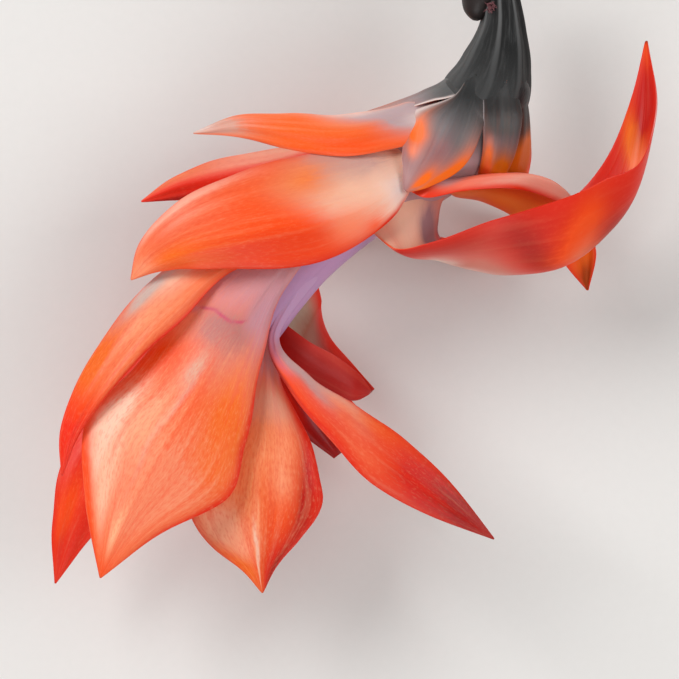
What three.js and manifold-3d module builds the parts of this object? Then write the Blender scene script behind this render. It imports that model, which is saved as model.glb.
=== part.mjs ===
// A Christmas cactus flower, picked with the end of its last stem joint and laid on its side.
//
// It is a flower within a flower. A ribbed ovary carries a bent floral tube. The outer tepals stand
// round the upper end of the tube and bend back, and the inner tepals flare from its mouth, round
// the stamens and the style. Each tepal is one solid blade that seats on the tube.
//
// Units are millimetres. +Z is up from the surface the flower lies on, and the origin is on that
// surface, under the middle of the flower. The flower hangs towards -Y, with the ovary at +Y.

import * as THREE from "three";
import { mergeVertices } from "three/addons/utils/BufferGeometryUtils.js";
import Module from "manifold-3d";

const wasm = await Module();
wasm.setup();

// Driving dimensions
const AXIS_HEIGHT = 17; // the floral tube's middle line above the surface
const BLADE = 0.62; // a tepal's thickness at its margins
const RIB_SWELL = 0.2; // how much each face stands up along the midrib, at the base
const SEAT_GAP = 0.3; // between a tepal and what it seats on
const TIP_HALF = 0.32; // half the width left at a tepal's tip
const ROWS = 12; // grid cells along a tepal
const COLUMNS = 4; // grid cells across a tepal
const TUBE_WALL = 0.8;
const OVARY_RIBS = 8;
const OVARY_RIB_DEPTH = 0.075; // of the ovary's radius
const OVARY_RIB_TURN = 0.19; // radians from the ovary's side to its first rib, at the stem
const PAD_FLATNESS = 0.5; // the stem joint's thickness over its width
const BUNDLE_RADIUS = 1.9; // of the ring of stamens
const FILAMENTS = 9;
const CENTRE = [1.71, 7.31]; // the middle of the flower in the outlines below, which becomes the origin

const up = new THREE.Vector3(0, 0, 1);

// The value at share u of a smooth curve through evenly spaced numbers or points.
function along(values, u) {
  const last = values.length - 1;
  const i = Math.min(Math.floor(Math.max(u, 0) * last), last - 1);
  const f = u * last - i;
  const component = (pick) => {
    const b = pick(values[i]);
    const c = pick(values[i + 1]);
    const a = i > 0 ? pick(values[i - 1]) : 2 * b - c;
    const d = i + 2 <= last ? pick(values[i + 2]) : 2 * c - b;
    const bend = 2 * a - 5 * b + 4 * c - d;
    const turn = 3 * b - 3 * c + d - a;
    return b + 0.5 * f * (c - a + f * (bend + f * turn));
  };
  if (typeof values[0] === "number") return component((v) => v);
  return new THREE.Vector3(...[0, 1, 2].map((k) => component((v) => v[k])));
}

function tangent(points, u) {
  const step = 0.01;
  return along(points, u + step).sub(along(points, u - step)).normalize();
}

const radians = (degrees) => (degrees * Math.PI) / 180;
const LEVEL = [0, 0];

// A blade hung on its midrib. At each share u of its length it reaches left and right of the midrib,
// seen from the base. It is rolled about the midrib, where 0 degrees faces up and positive turns its
// face to the right, and its section is an arc that turns through cup degrees, margins down. keel
// folds the section into a shallow roof.
function ribbedBlade({ rib, half, left = half, right = half, roll = LEVEL, cup, keel = LEVEL }) {
  return (u, v) => {
    const t = tangent(rib, u);
    const level = up.clone().addScaledVector(t, -up.dot(t)).normalize();
    const angle = radians(along(roll, u));
    const face = level.clone().multiplyScalar(Math.cos(angle));
    face.add(t.clone().cross(level).multiplyScalar(Math.sin(angle)));
    const side = t.clone().cross(face);
    const width = Math.max(along(v < 0 ? left : right, u), TIP_HALF);
    const s = v * width;
    const curve = radians(along(cup, u)) / (2 * width) || 1e-6;
    const drop = (1 - Math.cos(curve * s)) / curve + along(keel, u) * Math.abs(s);
    return along(rib, u).addScaledVector(side, Math.sin(curve * s) / curve).addScaledVector(face, -drop);
  };
}

// A blade rolled into a channel, drawn by its two margins and the line between them.
function channelBlade({ near, fold, far }) {
  return (u, v) => {
    const middle = along(fold, u);
    const a = along(near, u);
    const b = along(far, u);
    const lift = a.clone().add(b).multiplyScalar(0.5).sub(middle);
    return middle.addScaledVector(b.sub(a), v / 2).addScaledVector(lift, v * v);
  };
}

// A closed solid from a grid of points on each of two faces, top and bottom, rows by columns.
function solidBetween(top, bottom) {
  const rows = top.length - 1;
  const columns = top[0].length - 1;
  const vertices = [];
  const index = (face, i, j) => (face * (rows + 1) + i) * (columns + 1) + j;
  for (const p of [top, bottom].flat(2)) vertices.push(p.x, p.y, p.z);
  const triangles = [];
  const quad = (a, b, c, d) => triangles.push(a, b, c, a, c, d);
  for (let i = 0; i < rows; i++)
    for (let j = 0; j < columns; j++) {
      quad(index(0, i, j), index(0, i + 1, j), index(0, i + 1, j + 1), index(0, i, j + 1));
      triangles.push(index(1, i, j), index(1, i + 1, j + 1), index(1, i + 1, j));
      triangles.push(index(1, i, j), index(1, i, j + 1), index(1, i + 1, j + 1));
    }
  for (let i = 0; i < rows; i++) {
    quad(index(1, i, 0), index(1, i + 1, 0), index(0, i + 1, 0), index(0, i, 0));
    quad(index(0, i, columns), index(0, i + 1, columns), index(1, i + 1, columns), index(1, i, columns));
  }
  for (let j = 0; j < columns; j++) {
    quad(index(0, 0, j), index(0, 0, j + 1), index(1, 0, j + 1), index(1, 0, j));
    quad(index(1, rows, j), index(1, rows, j + 1), index(0, rows, j + 1), index(0, rows, j));
  }
  return manifoldOf(vertices, triangles);
}

function manifoldOf(vertices, triangles) {
  const geometry = new THREE.BufferGeometry();
  geometry.setAttribute("position", new THREE.Float32BufferAttribute(vertices, 3));
  geometry.setIndex(triangles);
  const merged = mergeVertices(geometry, 1e-4);
  return new wasm.Manifold(
    new wasm.Mesh({
      numProp: 3,
      vertProperties: merged.attributes.position.array,
      triVerts: new Uint32Array(merged.index.array),
    }),
  );
}

// The blade as a solid. swell adds to its thickness and its outline, which gives the clearance that
// another blade keeps from it. Where a blade lies on the surface it keeps its thickness above it.
function bladeSolid(surface, swell = 0) {
  const step = 0.004;
  const top = [];
  const bottom = [];
  for (let i = 0; i <= ROWS; i++) {
    const u = i / ROWS;
    top.push([]);
    bottom.push([]);
    for (let j = 0; j <= COLUMNS; j++) {
      const v = (2 * j) / COLUMNS - 1;
      const here = surface(u, v);
      const byU = surface(Math.min(u + step, 1), v).sub(surface(Math.max(u - step, 0), v)).normalize();
      const byV = surface(u, v + step).sub(surface(u, v - step)).normalize();
      const normal = byU.clone().cross(byV).normalize();
      const thick = BLADE / 2 + RIB_SWELL * (1 - v * v) * (1 - u) + swell;
      here.addScaledVector(byV, Math.trunc(v) * swell).addScaledVector(byU, Math.trunc(2 * u - 1) * swell);
      const faces = [thick, -thick].map((k) => here.clone().addScaledVector(normal, k));
      const upper = faces[normal.z > 0 ? 0 : 1];
      upper.z = Math.max(upper.z, BLADE);
      top[i].push(faces[0]);
      bottom[i].push(faces[1]);
    }
  }
  return solidBetween(top, bottom);
}

// A round body along a line of points, its radius changing along it, its ends flat. wall(angle, u)
// scales the radius, which is how the ovary gets its ribs.
function sweptBody(points, radii, sides, steps, from = 0, to = 1, wall = () => 1) {
  const vertices = [];
  const triangles = [];
  for (let i = 0; i <= steps; i++) {
    const u = from + ((to - from) * i) / steps;
    const t = tangent(points, u);
    const side = up.clone().cross(t).normalize();
    const lift = t.clone().cross(side);
    for (let k = 0; k < sides; k++) {
      const angle = (2 * Math.PI * k) / sides;
      const r = along(radii, u) * wall(angle, u);
      const p = along(points, u).addScaledVector(side, r * Math.cos(angle));
      p.addScaledVector(lift, r * Math.sin(angle));
      vertices.push(p.x, p.y, p.z);
    }
  }
  const ends = [along(points, from), along(points, to)].map((p) => {
    vertices.push(p.x, p.y, p.z);
    return vertices.length / 3 - 1;
  });
  for (let k = 0; k < sides; k++) {
    const n = (k + 1) % sides;
    for (let i = 0; i < steps; i++) {
      const a = i * sides;
      const b = a + sides;
      triangles.push(a + k, a + n, b + n, a + k, b + n, b + k);
    }
    triangles.push(ends[0], n, k, ends[1], steps * sides + k, steps * sides + n);
  }
  return manifoldOf(vertices, triangles);
}

// The ovary and the floral tube share one bent middle line, at a constant height.
const atAxis = (points) => points.map(([x, y]) => [x, y, AXIS_HEIGHT]);
const middleLine = atAxis([
  [19.3, 40.8], [19.3, 37], [18.7, 33], [17.3, 28.9], [13.9, 24.2], [9.4, 20.3],
  [5, 17.8], [0.7, 14.9], [-4.2, 10.6], [-7.7, 6.5], [-10.6, 3],
]);
const bodyRadii = [1.9, 2.7, 4, 5.1, 5.2, 4.8, 4.6, 4.5, 4.4, 4.3, 4.5];
const ovaryEnd = 0.297; // shares of the middle line
const tubeStart = 0.303;
const tubeFloor = 0.37;

function ovaryWall(angle, u) {
  const turned = angle - OVARY_RIB_TURN + u / 2;
  const rib = 2 * Math.abs(Math.cos((OVARY_RIBS * turned) / 2)) ** 1.6 - 1;
  return 1 + OVARY_RIB_DEPTH * rib * (1 - 2.6 * u);
}

const grown = bodyRadii.map((r) => r + SEAT_GAP);
const ovary = sweptBody(middleLine, bodyRadii, 40, 7, 0, ovaryEnd, ovaryWall);
const ovaryClear = sweptBody(middleLine, grown, 40, 7, -0.008, ovaryEnd + 0.006, ovaryWall);
const tubeOutside = sweptBody(middleLine, bodyRadii, 16, 15, tubeStart, 1);
const tubeInside = sweptBody(middleLine, bodyRadii.map((r) => r - TUBE_WALL), 12, 14, tubeFloor, 1.02);
const tubeClear = sweptBody(middleLine, grown, 16, 15, tubeStart - 0.006, 1.006);

// The end of the stem joint: a flat green pad, cut off, with the blunt tooth beside the ovary.
const padLine = [[18, 44.4, AXIS_HEIGHT], [18.1, 42.8, AXIS_HEIGHT], [18, 41.2, AXIS_HEIGHT]];
const toothLine = [[17.6, 43, AXIS_HEIGHT], [16.5, 40.4, AXIS_HEIGHT], [16.1, 37.8, AXIS_HEIGHT]];
const flattened = (angle) => 1 / Math.hypot(Math.cos(angle), Math.sin(angle) / PAD_FLATNESS);
const pad = sweptBody(padLine, [3.5, 3.4, 2.9], 14, 2, 0, 1, flattened);
const stemTip = pad.add(sweptBody(toothLine, [2.6, 2.1, 1.1], 8, 3)).subtract(ovaryClear);

// The stamens stand in a ring on the tube's floor and reach past its mouth, round the style.
const bundleEnd = [[-11.2, 1.4, 16.6], [-13.4, -5, 15.4], [-14.8, -11.6, 14]];
const bundleLine = middleLine.slice(4, 10).concat(bundleEnd);

function bundlePoint(u, spread, angle) {
  const t = tangent(bundleLine, u);
  const side = up.clone().cross(t).normalize();
  const p = along(bundleLine, u).addScaledVector(side, spread * Math.cos(angle));
  return p.addScaledVector(t.cross(side), spread * Math.sin(angle)).toArray();
}

function filament(angle, reach) {
  const stations = [0.012, 0.2, 0.4, 0.6, 0.8, 1];
  const spread = (f) => BUNDLE_RADIUS * (1 - 0.25 * Math.sin(Math.PI * f));
  const line = stations.map((f) => bundlePoint(f * reach, spread(f), angle));
  const anther = [-0.01, 0.015, 0.04].map((more) => bundlePoint(reach + more, BUNDLE_RADIUS, angle));
  return sweptBody(line, [0.34, 0.34], 5, 6).add(sweptBody(anther, [0.3, 0.75, 0.3], 5, 2));
}

const ringLine = [0.011, 0.02, 0.03].map((u) => bundlePoint(u, 0, 0));
const ring = (radius, from, to) => sweptBody(ringLine, [radius, radius], 10, 1, from, to);
let stamens = ring(BUNDLE_RADIUS + 0.5, 0, 1).subtract(ring(BUNDLE_RADIUS - 0.6, -0.5, 1.5));
for (let k = 0; k < FILAMENTS; k++)
  stamens = stamens.add(filament((2 * Math.PI * (k + 0.5)) / FILAMENTS, 0.86 + 0.08 * Math.sin(2.4 * k)));

const onMiddle = (shares) => shares.map((u) => bundlePoint(u, 0, 0));
const lobes = (angle) => 1 + 0.25 * Math.cos(5 * angle);
const style = sweptBody(onMiddle([0.011, 0.25, 0.5, 0.75, 0.985]), [0.6, 0.45, 0.45], 6, 7).add(
  sweptBody(onMiddle([0.98, 0.995, 1.01, 1.025]), [0.5, 1.1, 1.2, 0.5], 10, 3, 0, 1, lobes),
);

// The tepals. Outlines are millimetres in the view from above, and heights are above the surface.
const tepals = {
  // Small tepals where the ovary ends
  outer_scale_front: ribbedBlade({
    rib: [
      [14.3, 29.4, 21.8], [13.2, 25.6, 23.1], [11.6, 22, 23.7], [9.6, 19.2, 23.6],
      [7.7, 17.4, 23.2],
    ],
    left: [3.2, 4.4, 3.9, 1.8, 0.3],
    right: [4.6, 5.6, 5.2, 3.3, 0.3],
    cup: [70, 70, 60, 40],
    roll: [0, 8, 8, 0],
  }),
  outer_scale_top: channelBlade({
    near: [[14.8, 29.2, 21.4], [11, 28, 21.6], [7.2, 27.1, 20.8], [3.2, 26.6, 19]],
    fold: [[13.3, 31.7, 17.4], [10.1, 29.4, 17.8], [6.3, 27.9, 18.2], [2.8, 26.8, 18.4]],
    far: [[13, 30.6, 13.6], [9.5, 28.9, 14.4], [6.2, 27.6, 15.6], [2.9, 26.7, 18]],
  }),

  // Long outer tepals, which bend back
  outer_strap_upper: ribbedBlade({
    rib: [
      [12.4, 26.6, 20.8], [5.9, 25, 22.6], [0, 24.1, 23.4], [-6, 24.6, 23], [-11.8, 25.2, 21.8],
      [-17.2, 24.3, 20.4],
    ],
    left: [2.6, 2.7, 2.7, 2.3, 1.5, 0.3],
    right: [3, 2.4, 2.4, 2, 1.2, 0.3],
    cup: [60, 50, 50],
    roll: [8, 4, 0],
  }),
  outer_tepal_right_upper: channelBlade({
    near: [
      [7.7, 17.3, 22.6], [10.4, 16.6, 22.7], [14.5, 17.4, 22], [20, 17.8, 19.4], [24.4, 17, 16],
      [28.4, 14.8, 13], [30.7, 10.8, 11.4], [29.9, 5.9, 10.6],
    ],
    fold: [
      [10, 18.8, 21.8], [13.5, 18.8, 21.4], [18, 19.3, 19.6], [22.3, 19.3, 16.8], [25.9, 18, 14],
      [28.3, 14.8, 12], [29.4, 10.4, 10.8], [29.8, 5.9, 10.4],
    ],
    far: [
      [12.6, 17.6, 19.6], [13.8, 16.9, 17.6], [17, 16.3, 16.2], [20, 15, 14.8], [23.2, 12.8, 13],
      [25.6, 11, 11.6], [27.5, 8.4, 10.6], [29.7, 5.9, 10.2],
    ],
  }),
  outer_scale_right: ribbedBlade({
    rib: [[18.6, 29, 21.4], [18.6, 25.3, 21.9], [18.3, 21.8, 21.2], [17.8, 18.4, 18.8]],
    half: [2, 2.1, 2.2, 1.3],
    cup: [50, 50, 40],
    roll: [-12, -12, -5],
  }),
  outer_scale_edge: ribbedBlade({
    rib: [[21.2, 28.6, 19.2], [21.2, 25, 19.4], [21.1, 21.4, 18.6], [20.6, 18.2, 16.6]],
    half: [1.9, 2.4, 2.4, 1.3],
    cup: [60, 60, 40],
    roll: [-50, -45, -40],
  }),
  outer_tepal_left: ribbedBlade({
    rib: [
      [9, 20.4, 22.4], [3.2, 17.4, 23.8], [-3.6, 15.4, 25.8], [-10.6, 14, 27], [-17.2, 12.1, 26.8],
      [-21.6, 9.8, 25.4], [-24.4, 7, 23.6],
    ],
    left: [1.6, 4.8, 6.7, 6.2, 4.4, 2.4, 0.3],
    right: [4.4, 6.2, 6.8, 6, 4.6, 2.6, 0.3],
    cup: [60, 60, 70, 60, 40],
    roll: [9, 8, 2, 0, 0],
  }),
  outer_tepal_right_lower: channelBlade({
    near: [
      [3.4, 12.6, 20.2], [6.2, 10.7, 22.6], [10, 11.1, 23.6], [15, 12.9, 24.4], [20, 14.6, 24.8],
      [26, 16.4, 24.6], [31, 18.7, 23.6], [35.4, 21, 21.4], [37.5, 27.5, 18.6], [36.5, 35.3, 17.4],
    ],
    fold: [
      [7.4, 18.2, 21.4], [8.3, 10.9, 20.4], [12, 9.5, 19.4], [16, 8.4, 19.2], [20, 7.9, 19.2],
      [26, 8.7, 19.2], [30.8, 11.9, 18.8], [34.5, 17, 18], [36.1, 26, 17], [36.4, 35.4, 17.1],
    ],
    far: [
      [13.6, 19, 19.4], [11.7, 14.2, 17.8], [12.3, 11.8, 16.6], [16, 11, 16], [20, 11.8, 16],
      [25, 15.4, 16.2], [28.8, 17.8, 16.4], [32.2, 22.5, 16.6], [34.7, 29, 16.6], [36.2, 35.3, 16.9],
    ],
  }),
  outer_tepal_left_back: ribbedBlade({
    rib: [
      [8, 21.4, 13.2], [0, 22, 12.6], [-7, 20.6, 12.2], [-13.4, 19.4, 12], [-19, 18.2, 12.2],
      [-23.7, 16.5, 12.6],
    ],
    half: [3, 2.4, 2.6, 2.6, 1.6, 0.3],
    cup: [60, 50, 40],
    roll: [30, 10, 0],
  }),
  outer_strap_under: ribbedBlade({
    rib: [[11.2, 26.4, 12.8], [5.5, 25.4, 10.4], [0, 25, 9], [-5, 25.2, 8.6], [-9.5, 25.3, 9]],
    half: [1.6, 2.1, 2, 1.5, 0.3],
    roll: [180, 180],
    cup: [60, 50],
  }),
  outer_tepal_left_under: ribbedBlade({
    rib: [
      [8, 20, 12.6], [3, 19.6, 9], [-3, 18.8, 5.2], [-9, 18.2, 1.6], [-14, 17.4, 0.1],
      [-19, 16.2, 1.4],
    ],
    half: [3, 4.2, 5, 4.4, 3.2, 0.3],
    roll: [180, 180],
    cup: [60, 60, 40],
  }),
  outer_tepal_right_under: ribbedBlade({
    rib: [
      [8.2, 16.4, 12.8], [9.6, 12.2, 9], [14, 10.9, 5], [19, 11.2, 1.4], [23.5, 13, 0.1],
      [28, 15.6, 1.6],
    ],
    half: [1.8, 1.4, 1.4, 2.4, 2, 0.3],
    roll: [180, 180],
    cup: [60, 60, 40],
  }),
  outer_scale_under: ribbedBlade({
    rib: [[14.4, 28, 11.6], [13.6, 24.6, 10.6], [12.2, 21.5, 10.2], [10.4, 19, 10.6]],
    half: [2.8, 4, 3.6, 0.3],
    roll: [180, 180],
    cup: [70, 60, 50],
  }),

  // Inner tepals, from the mouth of the tube
  inner_tepal_left: ribbedBlade({
    rib: [
      [-7.5, 11.6, 20.8], [-14, 8.6, 22.6], [-19.8, 4.4, 24.8], [-24.3, -0.4, 26.2],
      [-28.3, -5.8, 26.2], [-31.1, -10.9, 25], [-32.5, -15.9, 23],
    ],
    left: [1.6, 1.4, 3, 2.5, 2, 1.1, 0.3],
    right: [2.8, 3.8, 4.2, 3.8, 3, 1.8, 0.3],
    cup: [60, 70, 80, 80, 60],
    roll: [10, 16, 16, 10, 0],
  }),
  inner_tepal_front: ribbedBlade({
    rib: [
      [-3.6, 12, 22.3], [-8.6, 6, 22.9], [-13, -0.6, 24], [-17.1, -7.1, 25.2], [-21.2, -13.8, 26],
      [-24.8, -20.8, 26], [-27.9, -27.8, 25.2],
    ],
    left: [1.6, 2.1, 4.8, 8, 9.8, 4.5, 0.3],
    right: [4, 5, 6.5, 8, 9.9, 5.6, 0.3],
    cup: [60, 60, 60, 50, 40],
  }),
  inner_tepal_right: ribbedBlade({
    rib: [
      [-1.2, 10.2, 20.4], [-7.6, 0.6, 20.4], [-4.4, -5.2, 21.4], [0.7, -9.8, 22.6],
      [5.9, -14.2, 23], [11.9, -18.8, 22.2], [18.2, -23.5, 20.2],
    ],
    left: [1.7, 0.8, 1.5, 2.7, 3.3, 2.4, 0.3],
    right: [1.5, 0.7, 1.7, 2.7, 3.5, 2.4, 0.3],
    cup: [60, 60, 60],
    roll: [-20, -10, 0],
  }),
  inner_tepal_middle: ribbedBlade({
    rib: [
      [-8.2, 1.2, 19.4], [-8.6, -5, 19.8], [-9, -11.6, 20.6], [-9.6, -18.4, 21],
      [-9.5, -24.5, 20.6], [-9.1, -29.9, 19.4],
    ],
    left: [0.8, 1.1, 1.8, 3.8, 5.8, 7.2, 7.9, 7, 4.7, 1.9, 0.3],
    right: [1.4, 1.8, 2.4, 3.9, 5.6, 7.3, 8.5, 8, 5.9, 2.3, 0.3],
    cup: [50, 50, 50],
    keel: [0, 0, 0, 0.2, 0.25],
  }),
  inner_tepal_right_back: channelBlade({
    near: [[-6.4, 1.4, 17], [-3.6, -0.2, 17], [-0.6, -1.9, 16.2], [2, -4, 15.2], [3.2, -6.9, 14.4]],
    fold: [[-7.3, 0.2, 15.4], [-5.3, -2.9, 14.2], [-2, -5.3, 13.4], [1.4, -7.1, 13], [4.1, -7.2, 12.8]],
    far: [[-1.4, 7.3, 12.6], [-2.2, 3.8, 12], [-1.1, 0.3, 12], [1.6, -2.9, 12.4], [4.4, -5.4, 12.4]],
  }),
  inner_tepal_left_back: ribbedBlade({
    rib: [
      [-10.8, 9.2, 14], [-17.4, 0.2, 14.6], [-23.3, -8.2, 16.4], [-28.6, -15.6, 17],
      [-31.9, -22.4, 16.6], [-33.8, -29, 15.4],
    ],
    left: [1.4, 2.6, 3.6, 4.4, 2.8, 0.3],
    right: [2, 3.6, 4.4, 4.6, 2.4, 0.3],
    cup: [60, 40],
  }),
  inner_tepal_middle_back: ribbedBlade({
    rib: [[-8.6, 0.4, 14.2], [-6.4, -4.6, 12.6], [-3.5, -9.6, 12], [-0.2, -13.9, 11.6]],
    half: [1.6, 1.8, 1.5, 0.3],
    roll: [180, 180],
    cup: [50, 40],
  }),
  inner_tepal_under_left: ribbedBlade({
    rib: [[-10.4, 8, 12.2], [-15, 5.4, 8.4], [-19.4, 1.2, 6], [-23, -4.4, 5.4], [-25.8, -10.4, 6.6]],
    half: [2.4, 3.4, 3.8, 3, 0.3],
    roll: [180, 180],
    cup: [70, 60],
  }),
  inner_tepal_under_front: ribbedBlade({
    rib: [[-8.6, 4.6, 12], [-11.2, -1.6, 7], [-13.6, -8, 2.6], [-15.6, -14, 0.1], [-17.4, -20, 1.4]],
    half: [2.6, 4.2, 5.4, 4.4, 0.3],
    roll: [180, 180],
    cup: [70, 60, 40],
  }),
  inner_tepal_under_right: ribbedBlade({
    rib: [[-6.4, 3.4, 12.8], [-5, -2.6, 9.8], [-1.6, -7.8, 7.6], [2.8, -12.4, 7], [7.6, -16.6, 8]],
    half: [1.8, 2, 2.6, 2.4, 0.3],
    roll: [180, 180],
    cup: [70, 60],
  }),
};

const largest = (solid) => solid.decompose().reduce((a, b) => (a.volume() > b.volume() ? a : b));

// Each blade stops short of the tube, and gives way to the blades before it where their claws meet.
const solids = new Map();
const cleared = [tubeClear, ovaryClear];
for (const [name, surface] of Object.entries(tepals)) {
  let solid = bladeSolid(surface);
  for (const taken of cleared) solid = solid.subtract(taken);
  solids.set(name, largest(solid.trimByPlane([0, 0, 1], 0)));
  cleared.push(bladeSolid(surface, SEAT_GAP));
}
solids.set("ovary", ovary);
solids.set("floral_tube", tubeOutside.subtract(tubeInside));
solids.set("stem_tip", stemTip);
solids.set("stamens", stamens);
solids.set("style", style);

const tepalColour = 0xe8553a;
const colours = {
  ovary: 0x6d7466,
  floral_tube: 0xb79ab4,
  stem_tip: 0x3f4a38,
  stamens: 0xf4e6dc,
  style: 0xd0486e,
};

const flower = new THREE.Group();
for (const [name, solid] of solids) {
  const mesh = solid.getMesh();
  const geometry = new THREE.BufferGeometry();
  geometry.setAttribute("position", new THREE.BufferAttribute(mesh.vertProperties, 3));
  geometry.setIndex(new THREE.BufferAttribute(mesh.triVerts, 1));
  const color = colours[name] ?? tepalColour;
  const material = new THREE.MeshStandardMaterial({ color, roughness: 0.5, metalness: 0 });
  const piece = new THREE.Mesh(geometry, material);
  piece.name = name;
  flower.add(piece);
}
flower.position.set(-CENTRE[0], -CENTRE[1], 0);

export default flower;
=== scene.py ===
import bpy
import numpy as np
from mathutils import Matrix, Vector


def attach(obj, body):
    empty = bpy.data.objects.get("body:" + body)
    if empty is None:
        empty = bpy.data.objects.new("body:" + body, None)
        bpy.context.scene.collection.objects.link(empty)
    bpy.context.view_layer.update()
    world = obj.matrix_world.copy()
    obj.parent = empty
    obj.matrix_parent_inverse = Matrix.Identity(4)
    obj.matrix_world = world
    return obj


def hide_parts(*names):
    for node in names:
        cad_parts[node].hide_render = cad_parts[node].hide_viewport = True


# A Christmas cactus flower, picked with the end of its last stem joint and laid on its side on a
# pale surface. The parts below follow the flower from the cut stem to the stigma. Shapes are drawn
# in millimetres in an outline seen from above, and turned to metres round the frame's origin.
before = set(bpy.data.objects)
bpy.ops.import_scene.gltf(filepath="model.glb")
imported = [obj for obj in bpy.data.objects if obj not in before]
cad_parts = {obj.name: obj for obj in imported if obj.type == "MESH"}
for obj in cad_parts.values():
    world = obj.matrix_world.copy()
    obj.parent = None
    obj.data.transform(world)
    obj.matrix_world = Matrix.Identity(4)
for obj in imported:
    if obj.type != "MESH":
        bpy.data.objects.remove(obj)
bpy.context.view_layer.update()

# The stem tip
# The last flat joint of the green stem, cut off just above the flower, with the blunt tooth of its
# end standing beside the ovary. Between the two sits the areole, a tuft of pink wool and bristles.
AXIS_HEIGHT = 17.0
CENTRE = np.array([1.71, 7.31, 0.0])  # the middle of the flower in the outlines
UP = np.array([0.0, 0.0, 1.0])


def along(values, u):
    """The value at share u of a smooth curve through evenly spaced numbers or points."""
    values = np.asarray(values, float)
    u = np.asarray(u, float)
    last = len(values) - 1
    padded = np.concatenate([[2 * values[0] - values[1]], values, [2 * values[-1] - values[-2]]])
    i = np.clip(np.floor(u * last), 0, last - 1).astype(int)
    a, b, c, d = (padded[i + k] for k in range(4))
    f = u * last - i
    if values.ndim > 1:
        f = f[..., None]
    bend = 2 * a - 5 * b + 4 * c - d
    turn = 3 * b - 3 * c + d - a
    return b + 0.5 * f * (c - a + f * (bend + f * turn))


def unit(vectors):
    return vectors / np.maximum(np.linalg.norm(vectors, axis=-1, keepdims=True), 1e-12)


def tangent(points, u):
    step = 0.01
    return unit(along(points, u + step) - along(points, u - step))


def grid(first, second):
    """Two rows of numbers as the two coordinates of a grid."""
    return np.meshgrid(first, second, indexing="ij")


def swept(points, radii, u, angle, wall=1.0):
    """The skin of a round body along a line of points, at shares u and angles from its side."""
    t = tangent(points, u)
    side = unit(np.cross(UP, t))
    lift = np.cross(t, side)
    r = (along(radii, u) * wall)[..., None]
    return along(points, u) + r * (side * np.cos(angle)[..., None] + lift * np.sin(angle)[..., None])


def shell(rings, **facts):
    """A closed skin through rings of points, rings by points, with a number or a vector for each
    point in facts. Each end is closed by a fan."""
    rows, sides = rings.shape[:2]
    points = np.concatenate([rings.reshape(-1, 3), rings[0].mean(0)[None], rings[-1].mean(0)[None]])
    i, k = grid(np.arange(rows - 1), np.arange(sides))
    n = (k + 1) % sides
    quads = np.stack([i * sides + k, i * sides + n, (i + 1) * sides + n, (i + 1) * sides + k], -1)
    k = np.arange(sides)
    n = (k + 1) % sides
    first = np.stack([np.full(sides, rows * sides), n, k], -1)
    final = np.stack([np.full(sides, rows * sides + 1), (rows - 1) * sides + k, (rows - 1) * sides + n], -1)
    values = {}
    for name, value in facts.items():
        value = np.broadcast_to(value, (rows, sides) + np.shape(value)[2:]).astype(float)
        ends = np.stack([value[0].mean(0), value[-1].mean(0)])
        values[name] = np.concatenate([value.reshape((rows * sides,) + value.shape[2:]), ends])
    return points, quads.reshape(-1, 4).tolist() + first.tolist() + final.tolist(), values


def flower_part(name, shells, material, slot, *nodes):
    """One piece of the flower from its shells, riding on the body and standing for its nodes."""
    points, faces, values = [], [], {}
    for shell_points, shell_faces, shell_values in shells:
        start = sum(len(p) for p in points)
        faces += [[start + i for i in face] for face in shell_faces]
        points.append(shell_points)
        for key, value in shell_values.items():
            values.setdefault(key, []).append(value)
    mesh = bpy.data.meshes.new(name)
    mesh.from_pydata(((np.concatenate(points) - CENTRE) / 1000).tolist(), [], faces)
    for key, value in values.items():
        value = np.concatenate(value)
        form, field = ("FLOAT", "value") if value.ndim == 1 else ("FLOAT_VECTOR", "vector")
        mesh.attributes.new(key, form, "POINT").data.foreach_set(field, value.ravel())
    mesh.shade_smooth()
    mesh.materials.append(material)
    piece = bpy.data.objects.new(name, mesh)
    bpy.context.collection.objects.link(piece)
    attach(piece, "root")
    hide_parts(*nodes)


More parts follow.
